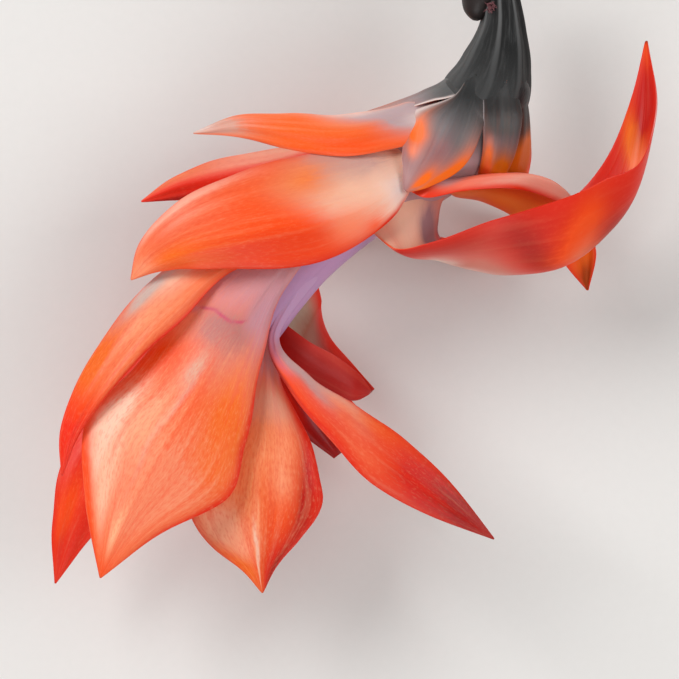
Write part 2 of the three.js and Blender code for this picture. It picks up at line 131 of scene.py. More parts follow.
class Wire:
    """A socket of a material's nodes. Sums and products of wires add their Math nodes."""

    def __init__(self, tree, socket=None):
        self.tree = tree
        self.socket = socket

    def node(self, kind, settings=(), inputs=(), output=0):
        """A new node: its settings come first, then the values or wires of its sockets."""
        made = self.tree.nodes.new("ShaderNode" + kind)
        for key, value in dict(settings).items():
            setattr(made, key, value)
        for key, value in dict(inputs).items():
            if isinstance(value, Wire):
                self.tree.links.new(value.socket, made.inputs[key])
            else:
                made.inputs[key].default_value = value
        return Wire(self.tree, made.outputs[output] if made.outputs else None)

    def math(self, operation, *values):
        return self.node("Math", {"operation": operation}, dict(enumerate(values)))

    def __add__(self, other):
        return self.math("ADD", self, other)

    def __sub__(self, other):
        return self.math("SUBTRACT", self, other)

    def __rsub__(self, other):
        return self.math("SUBTRACT", other, self)

    def __mul__(self, other):
        return self.math("MULTIPLY", self, other)

    def __truediv__(self, other):
        return self.math("DIVIDE", self, other)

    def __abs__(self):
        return self.math("ABSOLUTE", self)

    __radd__ = __add__
    __rmul__ = __mul__

    def fact(self, name, output="Fac"):
        """A number, or with output Vector a vector, that the mesh holds at each point."""
        return self.node("Attribute", {"attribute_name": name}, output=output)

    def rise(self, start, end):
        """0 before start and 1 after end, with a soft step between them."""
        inputs = {"Value": self, "From Min": start, "From Max": end}
        return self.node("MapRange", {"interpolation_type": "SMOOTHSTEP"}, inputs)

    def speck(self, run, across, lengthwise, detail=2.0):
        """Noise of so many waves a millimetre across and along the piece, from 0 to 1."""
        scale = {0: run, 1: (across, lengthwise, 1.0)}
        place = self.node("VectorMath", {"operation": "MULTIPLY"}, scale)
        return self.node("TexNoise", {}, {"Vector": place, "Scale": 1.0, "Detail": detail})

    def blend(self, share, under, over):
        """The colour over laid on the colour under, by a share of 0 to 1."""
        return self.node("Mix", {"data_type": "RGBA"}, {0: share, 6: under, 7: over}, 2)


def paint(red, green, blue):
    """A colour from its display values of 0 to 255, as the shaders want it."""
    share = np.array([red, green, blue]) / 255
    linear = np.where(share <= 0.04045, share / 12.92, ((share + 0.055) / 1.055) ** 2.4)
    return (*linear.tolist(), 1.0)


def new_finish(name):
    material = bpy.data.materials.new(name)
    material.use_nodes = True
    material.node_tree.nodes.clear()
    return material, Wire(material.node_tree)


def flesh(wire, colour, roughness, height, relief, glow=0.0, coat=0.0):
    """Living tissue: a satin skin over flesh that lets a little light through."""
    bump = wire.node("Bump", {}, {"Strength": 1.0, "Distance": relief / 1000, "Height": height})
    inputs = {
        "Base Color": colour,
        "Roughness": roughness,
        "Normal": bump,
        "Subsurface Weight": glow,
        "Subsurface Radius": (1.0, 0.35, 0.2),
        "Subsurface Scale": 0.0006,
        "Coat Weight": coat,
        "Coat Roughness": 0.3,
        "Specular IOR Level": 0.26,
    }
    skin = wire.node("BsdfPrincipled", {}, inputs)
    wire.node("OutputMaterial", {}, {"Surface": skin})


pad_line = [(18, 44.4, AXIS_HEIGHT), (18.1, 42.8, AXIS_HEIGHT), (18, 41.2, AXIS_HEIGHT)]
pad_radii = [3.5, 3.4, 2.9]
pad_flatness = 0.5
cut_bevel = 0.16  # share of the radius that the cut edge is drawn in by
shoulder = 0.9  # share of the radius that is lost towards the flower
vein_height = 0.1  # share of the radius that the middle vein stands proud
vein_breadth = 0.25
tooth_line = [(17.6, 43, AXIS_HEIGHT), (16.5, 40.4, AXIS_HEIGHT), (16.1, 37.8, AXIS_HEIGHT)]
tooth_radii = [2.6, 2.1, 1.1]

around = np.linspace(0, 2 * np.pi, 64, endpoint=False)
u, angle = grid(np.linspace(0, 1, 28), around)
ellipse = 1 / np.hypot(np.cos(angle), np.sin(angle) / pad_flatness)
edge = 1 - cut_bevel * (1 - u / 0.12).clip(0, 1) ** 2 - shoulder * ((u - 0.6) / 0.4).clip(0, 1) ** 3
vein_swell = 1 + vein_height * np.exp(-((np.cos(angle) / vein_breadth) ** 2))
pad_skin = swept(pad_line, pad_radii, u, angle, ellipse * edge * vein_swell)
pad = shell(pad_skin, cut=(u < 0.01) * 1.0)
u, angle = grid(np.linspace(0, 1, 28), around[::2])
round_end = np.sqrt(1 - ((u - 0.75) / 0.26).clip(0, 1) ** 2)
tooth = shell(swept(tooth_line, tooth_radii, u, angle, round_end), cut=u * 0)

stem_green, wire = new_finish("stem_green")
place = wire.node("TexCoord", output="Object")
mottle = wire.node("TexNoise", {}, {"Vector": place, "Scale": 700.0, "Detail": 4.0})
dusk = wire.blend(mottle, paint(26, 20, 20), paint(50, 42, 40))
colour = wire.blend(wire.fact("cut") * 0.9, dusk, paint(128, 138, 96))
flesh(wire, colour, 0.5 - 0.12 * mottle, mottle, 0.08, coat=0.1)
flower_part("stem_joint", [pad, tooth], stem_green, "stem", "stem_tip")

areole_at = np.array([17.9, 39.4, AXIS_HEIGHT + 2.1])
areole_half = 0.45
bristle_count = 60
bristle_radii = [0.045, 0.035, 0.01]
rng = np.random.default_rng(7)
bristles = []
for k in range(bristle_count):
    lean = rng.uniform(-0.6, 0.6, 2)
    root = areole_at + np.array([*rng.uniform(-areole_half, areole_half, 2), -0.4])
    tip = root + np.array([lean[0], lean[1] - 0.3, 0.8]) * rng.uniform(0.4, 0.9)
    u, angle = grid(np.linspace(0, 1, 6), around[::12])
    middle = (root + tip) / 2 + rng.uniform(-0.08, 0.08, 3)
    bristles.append(shell(swept([root, middle, tip], bristle_radii, u, angle)))

wool, wire = new_finish("areole_wool")
place = wire.node("TexCoord", output="Object")
fleck = wire.node("TexNoise", {}, {"Vector": place, "Scale": 3000.0, "Detail": 2.0})
colour = wire.blend(fleck, paint(110, 66, 72), paint(172, 116, 120))
flesh(wire, colour, 0.8, fleck, 0.02)
flower_part("areole_bristles", bristles, wool, "stem")

# The ovary
# The green base of the flower, which will be the fruit. It is a fleshy horn, narrow at the stem and
# wide where the tepals begin, with ribs that run down it and fade out below the small tepals; their
# crests are painted pale, partly their own tone and partly painted highlight.
middle_line = [
    (x, y, AXIS_HEIGHT)
    for x, y in [
        (19.3, 40.8), (19.3, 37), (18.7, 33), (17.3, 28.9), (13.9, 24.2), (9.4, 20.3), (5, 17.8),
        (0.7, 14.9), (-4.2, 10.6), (-7.7, 6.5), (-10.6, 3),
    ]
]
body_radii = [1.9, 2.7, 4, 5.1, 5.2, 4.8, 4.6, 4.5, 4.4, 4.3, 4.5]
ovary_end = 0.34
body_seam = 0.31
ovary_ribs = 8
rib_turn = 0.19  # radians, which brings the ribs to where they show
rib_depth = 0.075  # these three are shares of the radius
wrinkle_depth = 0.006
ovary_sink = 0.03  # how far the ovary's end dips under the tube's skin
rib_fade = 2.6
skin_radius = 4.5  # turns an angle into millimetres round the body
body_length = 52  # about the length of the middle line

u, angle = grid(np.linspace(0, ovary_end, 90), np.linspace(0, 2 * np.pi, 160, endpoint=False))
ribs = 2 * np.abs(np.cos(ovary_ribs * (angle - rib_turn + 0.5 * u) / 2)) ** 1.6 - 1
fade = (1 - rib_fade * u).clip(0, 1)
wrinkle = wrinkle_depth * np.sin(9 * angle + 30 * u) * np.sin(5 * angle - 40 * u)
under_tube = ((u - body_seam) / (ovary_end - body_seam)).clip(0, 1)
dive = ovary_sink * under_tube
ovary_skin = swept(middle_line, body_radii, u, angle, 1 + rib_depth * ribs * fade + wrinkle - dive)
# edge is 1 on the flower's right side and -1 on its left; the finish paints shade and light with it
ovary_facts = {"along": u / ovary_end, "rib": ribs, "edge": np.cos(angle)}
around_length = np.stack([angle * skin_radius, u * body_length, 0 * u], -1)

ovary_grey, wire = new_finish("ovary_grey")
run = wire.fact("run", "Vector")
share = wire.fact("along")
streak = wire.speck(run, 2.2, 0.25, 3.0)
grain = wire.speck(run, 9.0, 9.0)
dark = wire.blend(share.rise(0.4, 1.0), paint(16, 16, 16), paint(48, 48, 48))
light = wire.blend(share.rise(0.2, 1.0), paint(94, 94, 94), paint(76, 76, 76))
# The rib crests are painted pale: partly the ribs' own paler tone, partly painted highlight.
colour = wire.blend((wire.fact("rib") * 0.5 + 0.5).rise(0.84, 1.0) * (1.0 - 0.7 * share), dark, light)
colour = wire.blend(streak.rise(0.45, 0.75) * 0.3, colour, light)
colour = wire.blend(grain.rise(0.5, 0.75) * 0.2, colour, light)
# Painted shade darkens the ovary's right side, and painted light brightens its left side.
colour = wire.blend(wire.fact("edge").rise(0.55, 1.0) * 0.7, colour, paint(14, 9, 10))
colour = wire.blend((0 - wire.fact("edge")).rise(0.5, 1.0) * 0.4, colour, paint(104, 104, 104))
flesh(wire, colour, 0.5 + 0.16 * grain, streak + 0.4 * grain, 0.06, glow=0.05)
flower_part("ovary_horn", [shell(ovary_skin, run=around_length, **ovary_facts)], ovary_grey, "ovary", "ovary")

# The floral tube
# The bases of all the tepals, grown together into one bent fleshy pipe. Its wall is thin, its mouth
# is open, and each tepal leaves it as a soft fold, which shows as shallow flutes along it.
tube_start = 0.3
tube_floor = 0.37
tube_wall = 0.8
flutes = 9
flute_depth = 0.012  # share of the radius
tube_sink = 0.04  # and the share by which the tube starts under the ovary's skin


def soft_step(x):
    x = np.clip(x, 0, 1)
    return x * x * (3 - 2 * x)


u_out = np.linspace(tube_start, 1, 110)
u, angle = grid(u_out, np.linspace(0, 2 * np.pi, 144, endpoint=False))
flute = 1 + flute_depth * np.cos(flutes * angle + 4 * u) * (u - tube_start).clip(0, 0.2) / 0.2
rise = tube_sink * (1 - soft_step((u - tube_start) / (body_seam - tube_start) / 2.5))
outside = swept(middle_line, body_radii, u, angle, flute - rise)
rim_turn = np.linspace(0, np.pi, 9)[1:-1]
rim_u, rim_angle = grid(1 + 0.006 * np.sin(rim_turn), angle[0])
wall_share = tube_wall / body_radii[-1]
rim = swept(middle_line, body_radii, rim_u, rim_angle, 1 - wall_share * (1 - np.cos(rim_turn))[:, None] / 2)
u_in, in_angle = grid(np.linspace(1, tube_floor, 60), angle[0])
inside = swept(middle_line, body_radii, u_in, in_angle, 1 - tube_wall / along(body_radii, u_in))
tube_skin = np.concatenate([outside, rim, inside])
tube_share = np.concatenate([u, rim_u, u_in])
tube_angle = np.concatenate([angle, rim_angle, in_angle])
inner = np.concatenate([u * 0, rim_u * 0 + 0.5, u_in * 0 + 1])
tube_run = np.stack([tube_angle * skin_radius, tube_share * body_length, inner * 9], -1)

lavender_skin, wire = new_finish("lavender_skin")
run = wire.fact("run", "Vector")
share = wire.fact("along")
streak = wire.speck(run, 1.6, 0.12, 3.0)
grain = wire.speck(run, 8.0, 8.0)
colour = wire.blend(share.rise(0.37, 0.43), paint(66, 65, 65), paint(184, 148, 150))
colour = wire.blend(share.rise(0.55, 0.75), colour, paint(186, 140, 178))
colour = wire.blend(streak.rise(0.45, 0.85) * share.rise(0.45, 0.6) * 0.3, colour, paint(164, 116, 158))
colour = wire.blend(wire.fact("inner") * 0.8, colour, paint(214, 150, 150))
flesh(wire, colour, 0.42 + 0.15 * grain, streak + 0.3 * grain, 0.05, glow=0.15)
tube = shell(tube_skin, along=tube_share, inner=inner, run=tube_run)
flower_part("floral_tube_wall", [tube], lavender_skin, "floral_tube", "floral_tube")

# The small outer tepals
# Short scales that stand round the seam between ovary and tube: grey and waxy like the ovary at
# their base, orange at their margins, each grown out of the tube and pressed against it.
BLADE_HALF = 0.17  # half a tepal's thickness beside its midrib
TIP_HALF = 0.1  # half the width left at a tepal's tip
MIDRIB_HEIGHT = 0.12
MIDRIB_HALF = 0.5
ROOT_SINK = 0.12  # how deep a tepal's base sinks into the tube
MOUTH_EASE = 3  # past the tube's mouth a tepal is let go over this length
FOLD_WAVES = 2.2  # soft folds across the width of a tepal
FLUTTER_LENGTH = 8  # from one wave of the margin to the next
FLOOR_SOFTNESS = 0.05
TEPAL_ROWS = 96
TEPAL_SIDES = 84
line_shares = np.linspace(0, 1, 400)
line_points = along(middle_line, line_shares)
line_radii = along(body_radii, line_shares)
mouth_way = tangent(middle_line, 1.0)


def ribbed(rib, half=None, left=None, right=None, roll=(0, 0), cup=(50, 50), keel=(0, 0)):
    """A blade hung on its midrib, with an arc for a section. v runs from -1, left, to 1, right."""
    left = half or left
    right = half or right

    def surface(u, v):
        t = tangent(rib, u)
        level = unit(UP - t * (t @ UP)[..., None])
        turn = np.radians(along(roll, u))[..., None]
        face = level * np.cos(turn) + np.cross(t, level) * np.sin(turn)
        width = np.maximum(np.where(v < 0, along(left, u), along(right, u)), TIP_HALF)
        curve = np.radians(along(cup, u)) / (2 * width)
        s = v * width
        drop = (1 - np.cos(curve * s)) / curve + along(keel, u) * np.abs(s)
        out = (np.sin(curve * s) / curve)[..., None]
        return along(rib, u) + np.cross(t, face) * out - face * drop[..., None]

    return surface


def channel(near, fold, far):
    """A blade rolled into a channel, drawn by its two margins and the line between them."""

    def surface(u, v):
        a, middle, b = along(near, u), along(fold, u), along(far, u)
        v = v[..., None]
        return middle + (b - a) * v / 2 + ((a + b) / 2 - middle) * v * v

    return surface


def clasp(points, u, sink, grown):
    """Points kept outside of the ovary and the tube, or no deeper in them than sink. Near its base,
    over the share grown of its length, a tepal is drawn right to that depth."""
    flat = points.reshape(-1, 3)
    nearest = np.argmin(((flat[:, None, :2] - line_points[None, :, :2]) ** 2).sum(-1), 1)
    out = flat - line_points[nearest]
    distance = np.linalg.norm(out, axis=1)
    skin = line_radii[nearest] - np.ravel(sink)
    hold = 1 - soft_step(np.ravel(u) / grown)
    past_mouth = soft_step((flat - line_points[-1]) @ mouth_way / MOUTH_EASE)
    wanted = np.maximum(distance, skin) * (1 - hold) + skin * hold
    wanted = distance + (wanted - distance) * (1 - past_mouth)
    return (line_points[nearest] + unit(out) * wanted[:, None]).reshape(points.shape)


def petal_skin(surface, length, width, seed, grown, thick, ripple, crease):
    """A petal-like blade as one closed skin: thin, rounded at its margins, a little thicker at its
    midrib, with soft folds along it, lying on the floor wherever it would go through it."""
    turn = np.linspace(0, 2 * np.pi, TEPAL_SIDES, endpoint=False)
    spread = (1 - np.cos(np.linspace(0, np.pi, TEPAL_ROWS))) / 2
    u, theta = grid(0.65 * np.linspace(0, 1, TEPAL_ROWS) + 0.35 * spread, turn)
    v = -np.cos(theta)
    outer = np.sin(theta)  # above 0 on the face that was outside in the bud
    step = 0.004
    here = surface(u, v)
    by_u = surface(np.minimum(u + step, 1), v) - surface(np.maximum(u - step, 0), v)
    by_v = surface(u, v + step) - surface(u, v - step)
    normal = -unit(np.cross(by_u, by_v))
    wave = FOLD_WAVES * v + 0.5 * np.sin(3 * u + seed)
    folds = crease * np.sin(np.pi * wave + seed) * np.sin(np.pi * u) ** 0.7 * (1 - v**4)
    phase = seed * (1 + 0.6 * np.sign(v))
    flutter = ripple * v**4 * np.sin(2 * np.pi * u * length / FLUTTER_LENGTH + phase)
    midrib = MIDRIB_HEIGHT * np.exp(-((v * width / MIDRIB_HALF) ** 2)) * (1 - u)
    half = BLADE_HALF * thick * (1 + 0.5 * (1 - v**2) * (1 - u)) * np.abs(outer) ** 0.4
    half = half * np.sqrt(np.clip(1.02 - u**12, 0.02, 1))
    offset = folds + flutter * np.sin(np.pi * u) + np.sign(outer) * (half + midrib * (outer > 0))
    skin = here + normal * offset[..., None]
    proud = half * np.sign(outer) * 1.2 * soft_step(u / grown)
    skin = clasp(skin, u, ROOT_SINK - proud, grown)
    low = np.where(normal[..., 2] * np.sign(outer) > 0, 2 * BLADE_HALF, 0.0)
    skin[..., 2] = low + np.logaddexp(0, (skin[..., 2] - low) / FLOOR_SOFTNESS) * FLOOR_SOFTNESS
    run = np.stack([v * width, u * length, seed * 7 + 5 * (outer > 0)], -1)
    return shell(skin, along=u, across=v, outside=(outer > 0) * 1.0, run=run)


def touch(tone, u, v, reach, breadth, strength=0.8, slant=0.0, face=1):
    """A soft patch of colour on a tepal: its place along and across, how far it reaches along and
    across, its strength, its slant, and the face that it lies on, 1 outer and 0 inner."""
    return tone, u, v, reach, breadth, strength, slant, face


def petal_finish(name, claw, body, inner, margin, pale_to, red_edge, lively, touches):
    """Petal tissue: pale at the claw, coloured towards the tip, redder at the margins, with soft
    patches of colour, painted highlight and painted shade, and long veins. On a lively one the rows of
    fine cells carry painted glints."""
    material, wire = new_finish(name)
    run = wire.fact("run", "Vector")
    u = wire.fact("along")
    v = wire.fact("across")
    outside = wire.fact("outside")
    cloud = wire.speck(run, 0.3, 0.14, 3.0)
    vein = wire.speck(run, 1.5, 0.07)
    cell = wire.speck(run, 5.5, 1.3)
    glint = wire.speck(run, 8.0, 4.0)
    strand = 0.6 * vein + 0.4 * cell
    wander = 0.1 * (cloud - 0.5) + (0.08 + 0.1 * lively) * (strand - 0.5)
    v_near = v + 0.24 * (cloud - 0.5)
    colour = wire.blend((u + wander).rise(0.5 * pale_to, 1.4 * pale_to), claw, body)
    colour = wire.blend((1 - outside) * 0.9, colour, inner)
    streaky = (1 - 0.5 * lively) + lively * strand
    for tone, place, side, reach, breadth, strength, slant, face in touches:
        crisp = min(1.0, 8 * reach)
        du = (u + crisp * wander - place - slant * (v_near - side)) / reach
        dv = (v_near - side) / breadth
        spot = wire.math("EXPONENT", 0 - (du * du + dv * dv)) * (outside if face else 1 - outside)
        colour = wire.blend(wire.math("MINIMUM", spot * strength * streaky, 1), colour, tone)
    rim = (abs(v) + 0.2 * (cloud - 0.5) + 0.2 * (strand - 0.5)).rise(0.8, 1.04)
    colour = wire.blend(rim * u.rise(0.4 * pale_to, pale_to + 0.12) * red_edge, colour, margin)
    ripe = u.rise(0.12, 0.5) * lively
    veined = u.rise(0.1, 0.4) * (0.03 + 0.3 * lively)
    colour = wire.blend((0.5 - vein).rise(0.0, 0.2) * veined, colour, margin)
    colour = wire.blend(vein.rise(0.5, 0.7) * veined * 0.6, colour, PALE_VEIN_AND_HIGHLIGHT)
    colour = wire.blend((0.5 - cell).rise(-0.02, 0.16) * ripe * 0.34, colour, margin)
    colour = wire.blend(cell.rise(0.5, 0.72) * ripe * 0.2, colour, PALE_VEIN_AND_HIGHLIGHT)
    # Painted glints: pale specks on the fine cells, away from the margins.
    painted_sparkle = glint.rise(0.6, 0.72) * ripe * cloud.rise(0.42, 0.62) * (1 - rim) * 0.2
    colour = wire.blend(painted_sparkle, colour, PAINTED_GLINT)
    height = 0.8 * vein + (0.15 + 0.55 * lively) * cell + 0.25 * lively * glint
    flesh(wire, colour, 0.5 - 0.2 * glint, height, 0.05, glow=0.12)
    return material


ORANGE = paint(246, 106, 12)
FLAME = paint(252, 78, 10)
CORAL = paint(250, 92, 44)
SALMON = paint(255, 136, 94)
RED = paint(226, 40, 16)
AMBER = paint(196, 92, 2)
PALE = paint(232, 210, 204)
BLUSH = paint(226, 138, 118)
MAUVE = paint(176, 154, 160)
ASH = paint(86, 85, 85)
# The first is the pale of light veins and cells and of painted highlights; the second the pale of painted
# glints.
PALE_VEIN_AND_HIGHLIGHT = paint(255, 190, 144)
PAINTED_GLINT = paint(255, 206, 172)


def grow_tepal(
    name, surface, length, width, claw, body, touches, inner=RED, margin=RED, pale_to=0.24, red_edge=0.75,
    lively=0.25, grown=0.12, thick=1.0, ripple=0.1, crease=0.12, slot="tepal",
):
    """One tepal: its surface, its length and half its width in millimetres, and its colours."""
    seed = float(len(bpy.data.materials))
    finish = petal_finish(name + "_skin", claw, body, inner, margin, pale_to, red_edge, lively, touches)
    skin = petal_skin(surface, length, width, seed, grown, thick, ripple, crease)
    flower_part(name + "_blade", [skin], finish, slot, name)


scale_habit = dict(inner=SALMON, margin=ORANGE, lively=0.05, ripple=0.04, crease=0.05, slot="scale")
grow_tepal(
    "outer_scale_front",
    ribbed(
        rib=[(15.2, 31.4, 21.2), (13.2, 25.6, 23.1), (11.6, 22, 23.7), (9.6, 19.2, 23.6), (7.7, 17.4, 23.2)],
        left=[3.2, 3.8, 3.5, 1.8, 0.3], right=[0.3, 1.1, 5.5, 5.8, 5.2, 4.4, 3.3, 2, 0.3],
        cup=[70, 70, 60, 40], roll=[0, 8, 8, 0],
    ),
    13.5, 5.0, paint(76, 75, 75), paint(156, 112, 112),
    [
        touch(paint(122, 116, 118), 0.3, 0.2, 0.14, 0.5, 0.8),
        touch(paint(104, 101, 102), 0.36, -0.5, 0.16, 0.4, 0.9),
        touch(paint(140, 98, 100), 0.5, 0.0, 0.12, 0.4, 0.9),
        touch(paint(46, 46, 46), 0.0, 0.0, 0.16, 2.0, 1.6),
        touch(ORANGE, 0.68, -0.9, 0.24, 0.28, 2.0),
        touch(ORANGE, 0.79, -0.3, 0.15, 0.3, 1.5),
        touch(ORANGE, 0.43, 0.62, 0.15, 0.24, 1.5),
        touch(SALMON, 0.62, 0.6, 0.07, 0.16, 0.8),
        touch(PALE, 0.22, 0.8, 0.12, 0.14, 0.9),
        touch(paint(204, 158, 156), 0.9, 0.5, 0.12, 0.5, 0.4),
        # Painted highlight: a thin bright line along the left margin, where the scale stands off the tepal
        # below.
        touch(PALE, 0.62, 1.03, 0.3, 0.06, 1.8),
    ],
    pale_to=0.36, red_edge=0.1, grown=0.2, thick=1.1, **scale_habit,
)
grow_tepal(
    "outer_scale_top",
    channel(
        near=[(14.8, 29.2, 21.4), (11, 28, 21.6), (7.2, 27.1, 20.8), (3.2, 26.6, 19)],
        fold=[(13.3, 31.7, 17.4), (10.1, 29.4, 17.8), (6.3, 27.9, 18.2), (2.8, 26.8, 18.4)],
        far=[(13, 30.6, 13.6), (9.5, 28.9, 14.4), (6.2, 27.6, 15.6), (2.9, 26.7, 18)],
    ),
    12.5, 3.5, paint(92, 91, 91), paint(150, 134, 136),
    [
        touch(paint(192, 138, 128), 0.8, -0.5, 0.2, 0.6, 0.9),
        touch(BLUSH, 0.6, -0.7, 0.12, 0.3, 0.3),
        touch(ORANGE, 0.78, 0.6, 0.26, 0.5, 1.3),
        touch(AMBER, 0.5, 1.0, 0.4, 0.2, 1.0),
        # Painted highlight: a thin bright line along the near margin.
        touch(PALE, 0.42, -1.0, 0.4, 0.04, 1.5),
    ],
    pale_to=0.36, red_edge=0.0, grown=0.34, thick=0.4, **scale_habit,
)
grow_tepal(
    "outer_scale_right",
    ribbed(
        rib=[(18.6, 30.6, 21), (18.6, 26.4, 21.9), (18.4, 22.2, 21.2), (17.8, 18.4, 18.8)],
        left=[2.6, 3.2, 2.6, 1.3], right=[2, 1.9, 1.6, 1.7], cup=[50, 50, 40], roll=[-12, -12, -5],
    ),
    12.5, 2.0, paint(40, 40, 40), paint(112, 92, 94),
    [
        touch(paint(116, 102, 106), 0.56, 0.1, 0.1, 0.6, 0.8),
        touch(paint(150, 124, 126), 0.6, 0.6, 0.07, 0.3, 0.8),
        touch(paint(80, 79, 79), 0.42, 0.0, 0.12, 1.4, 1.2),
        touch(paint(44, 43, 43), 0.12, -0.2, 0.2, 1.4, 1.6),
        # Painted highlight: a thin pale line along the left margin.
        touch(paint(160, 150, 152), 0.36, 0.93, 0.24, 0.07, 1.2),
        touch(BLUSH, 0.75, 0.95, 0.2, 0.06, 1.0),
        touch(ORANGE, 0.82, 0.6, 0.19, 0.36, 1.7),
        touch(AMBER, 0.9, -0.4, 0.18, 0.7, 1.7),
        touch(CORAL, 0.92, 0.5, 0.14, 0.35, 0.9),
    ],
    pale_to=0.5, red_edge=0.1, grown=0.34, thick=1.1, **scale_habit,
)
grow_tepal(
    "outer_scale_edge",
    ribbed(
        rib=[(20.9, 30.8, 19), (21.3, 26.4, 19.4), (21.2, 22, 18.6), (20.6, 18.2, 16.6)],
        left=[1.9, 2.4, 2.7, 2.4], right=[0.8, 1.6, 2.8, 2], cup=[60, 60, 40], roll=[-50, -45, -40],
    ),
    # The dark grey claw and the darker orange body are partly the tepal's own colour and partly painted shade
    # on the flower's right side.
    12.6, 2.2, paint(38, 36, 36), paint(188, 86, 8),
    [
        # A dark patch: the tepal's grey deepened by painted shade.
        touch(paint(30, 22, 23), 0.3, -0.2, 0.22, 1.4, 2.0),
        touch(paint(72, 60, 62), 0.5, 0.6, 0.1, 0.4, 0.8),
        touch(paint(200, 92, 4), 0.66, -0.4, 0.13, 0.6, 1.8, 0.12),
        touch(paint(190, 50, 24), 0.8, -1.0, 0.2, 0.2, 1.3),
        touch(FLAME, 0.9, -0.9, 0.14, 0.3, 0.6),
    ],
    pale_to=0.5, red_edge=0.1, grown=0.1, thick=1.1, **scale_habit,
)
grow_tepal(
    "outer_scale_under",
    ribbed(
        rib=[(14.4, 28, 11.6), (13.6, 24.6, 10.6), (12.2, 21.5, 10.2), (10.4, 19, 10.6)],
        half=[2.8, 4, 3.6, 0.3], roll=[180, 180], cup=[70, 60, 50],
    ),
    10.0, 3.6, ASH, MAUVE,
    [touch(ORANGE, 0.8, -0.4, 0.25, 0.6, 1.2), touch(ORANGE, 0.6, 0.8, 0.3, 0.25, 0.9)],
    pale_to=0.36, red_edge=0.25, grown=0.34, thick=1.1, **scale_habit,
)

# The long outer tepals
# Petal-like blades that leave the middle of the tube and bend back towards the stem. They are pale
# or mauve at the claw, orange along the blade and red at the margins, and roll up as they age.
PEACH = paint(242, 188, 160)
SCARLET = paint(250, 50, 28)
DEEP_RED = paint(156, 18, 10)

grow_tepal(
    "outer_strap_upper",
    ribbed(
        rib=[(12.4, 26.6, 20.8), (5.9, 25, 22.6), (0, 24.1, 23.4), (-6, 24.6, 23), (-11.8, 25.2, 21.8),
             (-17.2, 24.3, 20.4)],
        left=[2.6, 2.7, 2.7, 2.3, 1.5, 0.1], right=[3, 2.4, 2.4, 2, 1.2, 0.1],
        cup=[60, 50, 50], roll=[8, 4, 0],
    ),
    30.5, 2.4, FLAME, paint(248, 98, 26),
    [
        touch(FLAME, 0.36, -0.6, 0.16, 0.4, 0.9),
        touch(paint(246, 126, 76), 0.4, 0.5, 0.12, 0.3, 0.8),
        touch(paint(186, 156, 158), 0.13, 0.5, 0.11, 0.8, 2.2, 0.05),
        touch(paint(190, 164, 166), 0.24, 0.95, 0.15, 0.4, 2.0),
        # Painted highlight on the top margin.
        touch(PALE, 0.36, 1.0, 0.14, 0.2, 1.2),
        touch(PALE, 0.06, 0.1, 0.07, 0.4, 0.9),
        touch(SALMON, 0.62, 0.9, 0.2, 0.14, 0.6),
        touch(paint(216, 158, 140), 0.92, 0.3, 0.12, 1.0, 2.2, 0.05),
        touch(PALE, 0.97, 0.6, 0.06, 0.6, 0.9),
        touch(SALMON, 0.93, -1.0, 0.12, 0.2, 1.0),
        # Painted highlight: a thin bright line along the whole top margin.
        touch(PALE, 0.55, 1.05, 0.6, 0.06, 1.2),
        touch(FLAME, 0.45, -1.0, 0.4, 0.16, 0.9),
    ],
    # The pale margin colour paints a highlight along the top edge; the lower edge is painted over with flame.
    inner=ORANGE, margin=paint(248, 140, 100), pale_to=0.02, red_edge=0.4, lively=0.35,
)
grow_tepal(
    "outer_tepal_left",
    ribbed(
        rib=[(9, 20.4, 22.4), (3.2, 17.4, 23.8), (-3.6, 15.4, 25.8), (-10.6, 14, 27), (-17.2, 12.1, 26.8),
             (-21.6, 9.8, 25.4), (-24.4, 7, 23.6)],
        left=[1.6, 4.8, 6.7, 6.2, 4.4, 2.4, 0.1], right=[4.4, 6.2, 6.8, 6, 4.6, 2.6, 0.1],
        cup=[60, 60, 70, 60, 40], roll=[9, 8, 2, 0, 0],
    ),
    37.0, 6.2, PEACH, paint(244, 90, 36),
    [
        touch(paint(192, 148, 140), 0.21, 0.6, 0.12, 0.45, 1.8),
        touch(PEACH, 0.23, -0.05, 0.11, 0.5, 1.2),
        touch(PALE, 0.06, -0.5, 0.06, 0.5, 1.0),
        touch(paint(246, 130, 70), 0.33, 0.5, 0.08, 0.4, 1.0),
        touch(RED, 0.4, -0.95, 0.18, 0.3, 1.2),
        touch(FLAME, 0.4, -0.3, 0.1, 0.35, 1.2, 0.12),
        touch(paint(238, 62, 6), 0.42, -0.65, 0.15, 0.3, 2.0),
        touch(FLAME, 0.52, 0.1, 0.07, 0.3, 0.8),
        touch(SALMON, 0.24, -0.5, 0.06, 0.35, 0.7),
        touch(ORANGE, 0.77, -0.35, 0.13, 0.35, 0.9),
        touch(paint(248, 120, 84), 0.7, 0.4, 0.14, 0.4, 0.8),
        # Painted sheen along the top edge.
        touch(paint(252, 170, 144), 0.7, 0.95, 0.18, 0.2, 1.6),
        touch(RED, 0.16, -1.0, 0.1, 0.1, 1.2),
        touch(paint(255, 146, 104), 0.95, 0.0, 0.09, 0.9, 1.3),
        touch(FLAME, 0.18, -0.82, 0.03, 0.16, 0.7),
    ],
    inner=CORAL, pale_to=0.22, red_edge=0.4, lively=0.35, crease=0.16,
)
